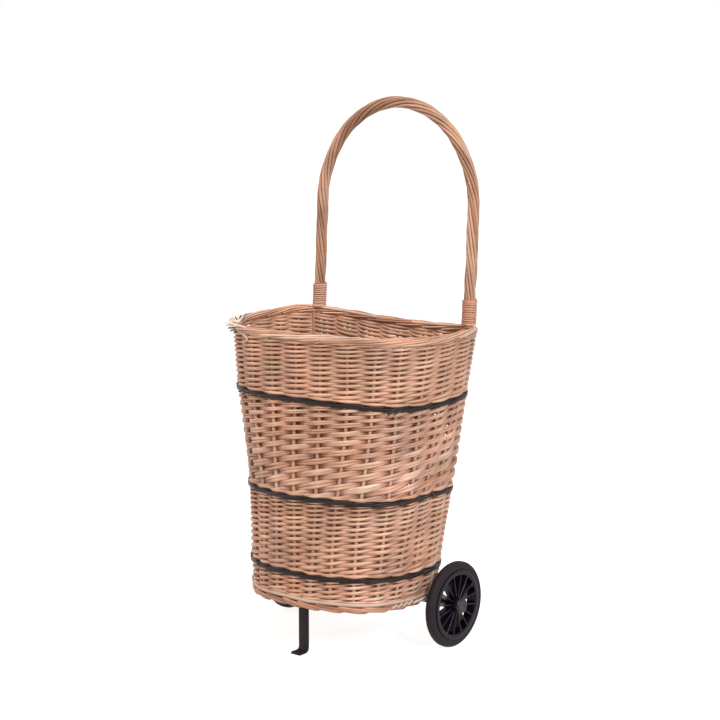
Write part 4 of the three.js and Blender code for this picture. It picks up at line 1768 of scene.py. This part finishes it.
    def _fin(self) -> bpy.types.Mesh:
        """One fin, standing up from the hub, with a bead along its two edges.

        Returns:
            Its mesh.
        """
        half, thin = self.fin_width / 2, self.fin_thickness / 2
        outline = [
            (-half, -self.fin_bead),
            (-half + 1.6 * MM, -self.fin_bead),
            (-half + 2.4 * MM, -thin),
            (half - 2.4 * MM, -thin),
            (half - 1.6 * MM, -self.fin_bead),
            (half, -self.fin_bead),
        ]
        outline += [(x, -y) for x, y in reversed(outline)]
        ends = (self.hub_radius - 1 * MM, self.seat - self.rim_depth + 1.5 * MM)
        fin = bmesh.new()
        foot, top = ([fin.verts.new((x, y, z)) for x, y in outline] for z in ends)
        for i in range(len(outline)):
            j = (i + 1) % len(outline)
            fin.faces.new([foot[i], foot[j], top[j], top[i]])
        fin.faces.new(foot[::-1])
        fin.faces.new(top)
        edges = [edge for edge in fin.edges if abs(edge.verts[0].co.z - edge.verts[1].co.z) > MM]
        bmesh.ops.bevel(fin, geom=edges, offset=0.3 * MM, segments=1, affect="EDGES")
        bmesh.ops.recalc_face_normals(fin, faces=fin.faces)
        mesh = bpy.data.meshes.new("fin")
        fin.to_mesh(mesh)
        fin.free()
        return mesh

    def spokes(self) -> Piece:
        """The thin fins between hub and rim.

        Returns:
            The piece.
        """
        first = math.pi / self.fins
        values = {"Count": self.fins, "First Turn": first, "Finish": self.finishes.plastic}
        piece = grown(f"wheel_fins_{self.side}", self._fin(), self.ring, values)
        piece.data.transform(Matrix.Translation(self.centre))
        return settle(piece, "wheel_plastic", body=self.body)

    def cap(self) -> Piece:
        """The push-on cap over the axle's end, with a shallow dish in its face.

        Returns:
            The piece.
        """
        low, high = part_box(f"axle_cap_{self.side}")
        depth = high.x - low.x
        radius = (high.z - low.z) / 2
        face = self.hub_out + 0.3 * MM
        corners = [
            (face, 0.0),
            (face, radius - 1 * MM),
            (face + depth * 0.62, radius),
            (face + depth * 0.92, radius - 2.4 * MM),
            (face + depth * 0.97, radius - 5 * MM),
            (face + depth * 0.9, radius * 0.4),
            (face + depth * 0.88, 0.0),
        ]
        shape = self._stand(lathe(rounded(corners, 1.2 * MM), 64))
        piece = shown(f"hub_cap_{self.side}", shape, self.finishes.cap, 50)
        return settle(piece, "cap_plastic", f"axle_cap_{self.side}")


# ---- Steelwork and fasteners -------------------------------------------------------------


@dataclass
class Steelwork:
    """The bracket, stand bar, axle, spacers, bolts and nuts.

    Attributes:
        finishes: The trolley's materials.
        bevel: Width of the rounding along rolled and sawn edges.
        bolt_head: Height of a bolt's head.
        shank: Radius of its shank.
        spots: Where the bolts are.
    """

    finishes: Finishes
    bevel: float = 0.5 * MM
    bolt_head: float = 3.5 * MM
    shank: float = 3 * MM
    spots: tuple[str, ...] = ("left", "right", "front")

    def build(self) -> list[Piece]:
        """Finish the steelwork.

        Returns:
            Its pieces.
        """
        paint, zinc, plastic = self.finishes.paint, self.finishes.zinc, self.finishes.plastic
        rows = [
            ("axle_bracket", "painted_bracket", paint, "black_steel"),
            ("stand_bar", "painted_stand_bar", paint, "black_steel"),
            ("axle", "axle_rod", zinc, "zinc_steel"),
        ]
        for side in Side:
            rows.append((f"axle_spacer_{side}", f"spacer_tube_{side}", plastic, "wheel_plastic"))
        for spot in self.spots:
            rows.append((f"floor_nut_{spot}", f"hex_nut_{spot}", zinc, "zinc_steel"))
        pieces = []
        for node, name, finish, slot in rows:
            piece = shown(name, softened(node, self.bevel), finish, 40)
            pieces.append(settle(piece, slot, node))
        return pieces + [self.bolt(spot) for spot in self.spots]

    def bolt(self, spot: str) -> Piece:
        """A coach bolt: a low domed head on a round shank.

        Args:
            spot: Where the bolt is.

        Returns:
            The piece.
        """
        low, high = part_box(f"floor_bolt_{spot}")
        radius = (high.x - low.x) / 2
        head = self.bolt_head
        end = head - (high.z - low.z)
        section = [(end, 0.0), (end, self.shank), (0.0, self.shank), (0.0, radius - 0.4 * MM)]
        for angle in np.linspace(0, math.pi / 2, 9)[:-1]:
            section.append((math.sin(angle) * head, math.cos(angle) * radius))
        shape = lathe(section + [(head, 0.0)], 40)
        stand = Matrix.Translation(((low.x + high.x) / 2, (low.y + high.y) / 2, high.z - head))
        turn = Matrix.Rotation(-math.pi / 2, 4, "Y")
        bmesh.ops.transform(shape, matrix=stand @ turn, verts=shape.verts)
        piece = shown(f"coach_bolt_{spot}", shape, self.finishes.zinc, 50)
        return settle(piece, "zinc_steel", f"floor_bolt_{spot}")


# ---- The studio --------------------------------------------------------------------------


@dataclass(frozen=True)
class SoftLamp:
    """A square soft lamp.

    Attributes:
        name: Of the lamp.
        place: Where it hangs.
        size: Of its side.
        power: In watts.
        colour: Of its light.
    """

    name: str
    place: Spot
    size: float
    power: float
    colour: Colour = (1.0, 0.84, 0.72)


@dataclass
class Studio:
    """A pale floor, a white surround, soft lamps and the camera.

    Attributes:
        eye: Where the camera stands.
        turn: How far it is turned to the left, in degrees.
        tip: How far it looks down, in degrees.
        lens: Its focal length, in millimetres.
        lamps: The lamps, which all look at the aim.
        aim: The trolley's middle.
        surround: Strength of the light from all round.
        surround_colour: Its colour.
        floor_shade: How pale the floor is.
        floor_glow: How brightly the camera sees it shine.
    """

    eye: Spot = (2.12385, -2.61564, 1.10206)
    turn: float = 38.71
    tip: float = 10.27
    lens: float = 99.63
    lamps: tuple[SoftLamp, ...] = (
        SoftLamp("key", (6.2, -2.9, 4.4), 1.0, 365.0, (0.98, 1.02, 1.06)),
        SoftLamp("fill", (-2.6, -1.9, 1.9), 1.0, 13.0),
        SoftLamp("top", (0.5, -1.3, 3.4), 0.6, 46.0),
    )
    aim: Spot = (0.0, 0.0, 0.45)
    surround: float = 0.5
    surround_colour: Colour = (1.0, 0.85, 0.73)
    floor_shade: float = 0.55
    floor_glow: float = 0.86

    def build(self) -> None:
        """Set up the camera, floor, lamps and world."""
        self.camera()
        self.floor()
        for lamp in self.lamps:
            self.lamp(lamp)
        self.world()
        bpy.context.scene.view_settings.view_transform = "Standard"

    def camera(self) -> None:
        """The camera at the viewing height of someone standing a few metres off."""
        data = bpy.data.cameras.new("camera")
        data.lens = self.lens
        data.sensor_width = 36.0
        data.clip_end = 90.0
        camera = linked("camera", data)
        camera.location = self.eye
        camera.rotation_euler = Euler((math.radians(90 - self.tip), 0, math.radians(self.turn)))
        bpy.context.scene.camera = camera

    @staticmethod
    def _for_eye(tree: Tree, rest: Node, seen: Node) -> Node:
        """Mix two shaders: one that the camera and reflections see, and one for all the rest.

        Args:
            tree: The tree.
            rest: The shader for the rest.
            seen: The shader for the camera.

        Returns:
            The mixed shader.
        """
        path = put(tree, "ShaderNodeLightPath").outputs
        eye = figure(tree, "MAXIMUM", path["Is Camera Ray"], path["Is Glossy Ray"])
        return put(tree, "ShaderNodeMixShader", eye, rest, seen)

    def floor(self) -> None:
        """A wide pale floor that shines to the camera, so that only shadows show on it."""
        shape = bmesh.new()
        bmesh.ops.create_grid(shape, x_segments=1, y_segments=1, size=40.0)
        made, tree, skin = new_material("studio_floor")
        shade = opaque((self.floor_shade,) * 3)
        give(skin, Base_Color=shade, Roughness=0.9, Specular_IOR_Level=0.0)
        glow = put(tree, "ShaderNodeEmission", Strength=self.floor_glow)
        plain = put(tree, "ShaderNodeEmission", Strength=0.0)
        total = put(tree, "ShaderNodeAddShader", skin, self._for_eye(tree, plain, glow))
        give(tree.nodes["Material Output"], Surface=total)
        floor = shown("studio_floor", shape, made)

    def lamp(self, lamp: SoftLamp) -> None:
        """Hang one soft lamp.

        Args:
            lamp: The lamp.
        """
        data = bpy.data.lights.new(lamp.name, "AREA")
        data.size = lamp.size
        data.energy = lamp.power
        data.color = lamp.colour
        hung = linked(lamp.name, data)
        hung.location = lamp.place
        aim = Vector(self.aim) - Vector(lamp.place)
        hung.rotation_euler = aim.to_track_quat("-Z", "Y").to_euler()

    def world(self) -> None:
        """Even, warm light from all round, and white where the camera sees it."""
        world = bpy.data.worlds.new("surround")
        bpy.context.scene.world = world
        world.use_nodes = True
        tree = world.node_tree
        back = give(tree.nodes["Background"], opaque(self.surround_colour), self.surround)
        white = put(tree, "ShaderNodeBackground", opaque((1.0, 1.0, 1.0)), 1.0)
        give(tree.nodes["World Output"], Surface=self._for_eye(tree, back, white))


def main() -> None:
    """Build the camera, then every sub-assembly in turn."""
    logging.basicConfig(level=logging.INFO, format="%(message)s")
    Studio().build()
    finishes = Finishes()
    loom = Loom()
    outline = WallOutline()
    WovenBasket(outline, loom, finishes).build()
    WovenFloor(outline, loom, finishes).build()
    TwistedHandle(outline, loom, finishes).build()
    ring = ring_tree()
    for side in Side:
        SpokedWheel(side, finishes, ring).build()
    Steelwork(finishes).build()


if __name__ == "__main__":
    main()
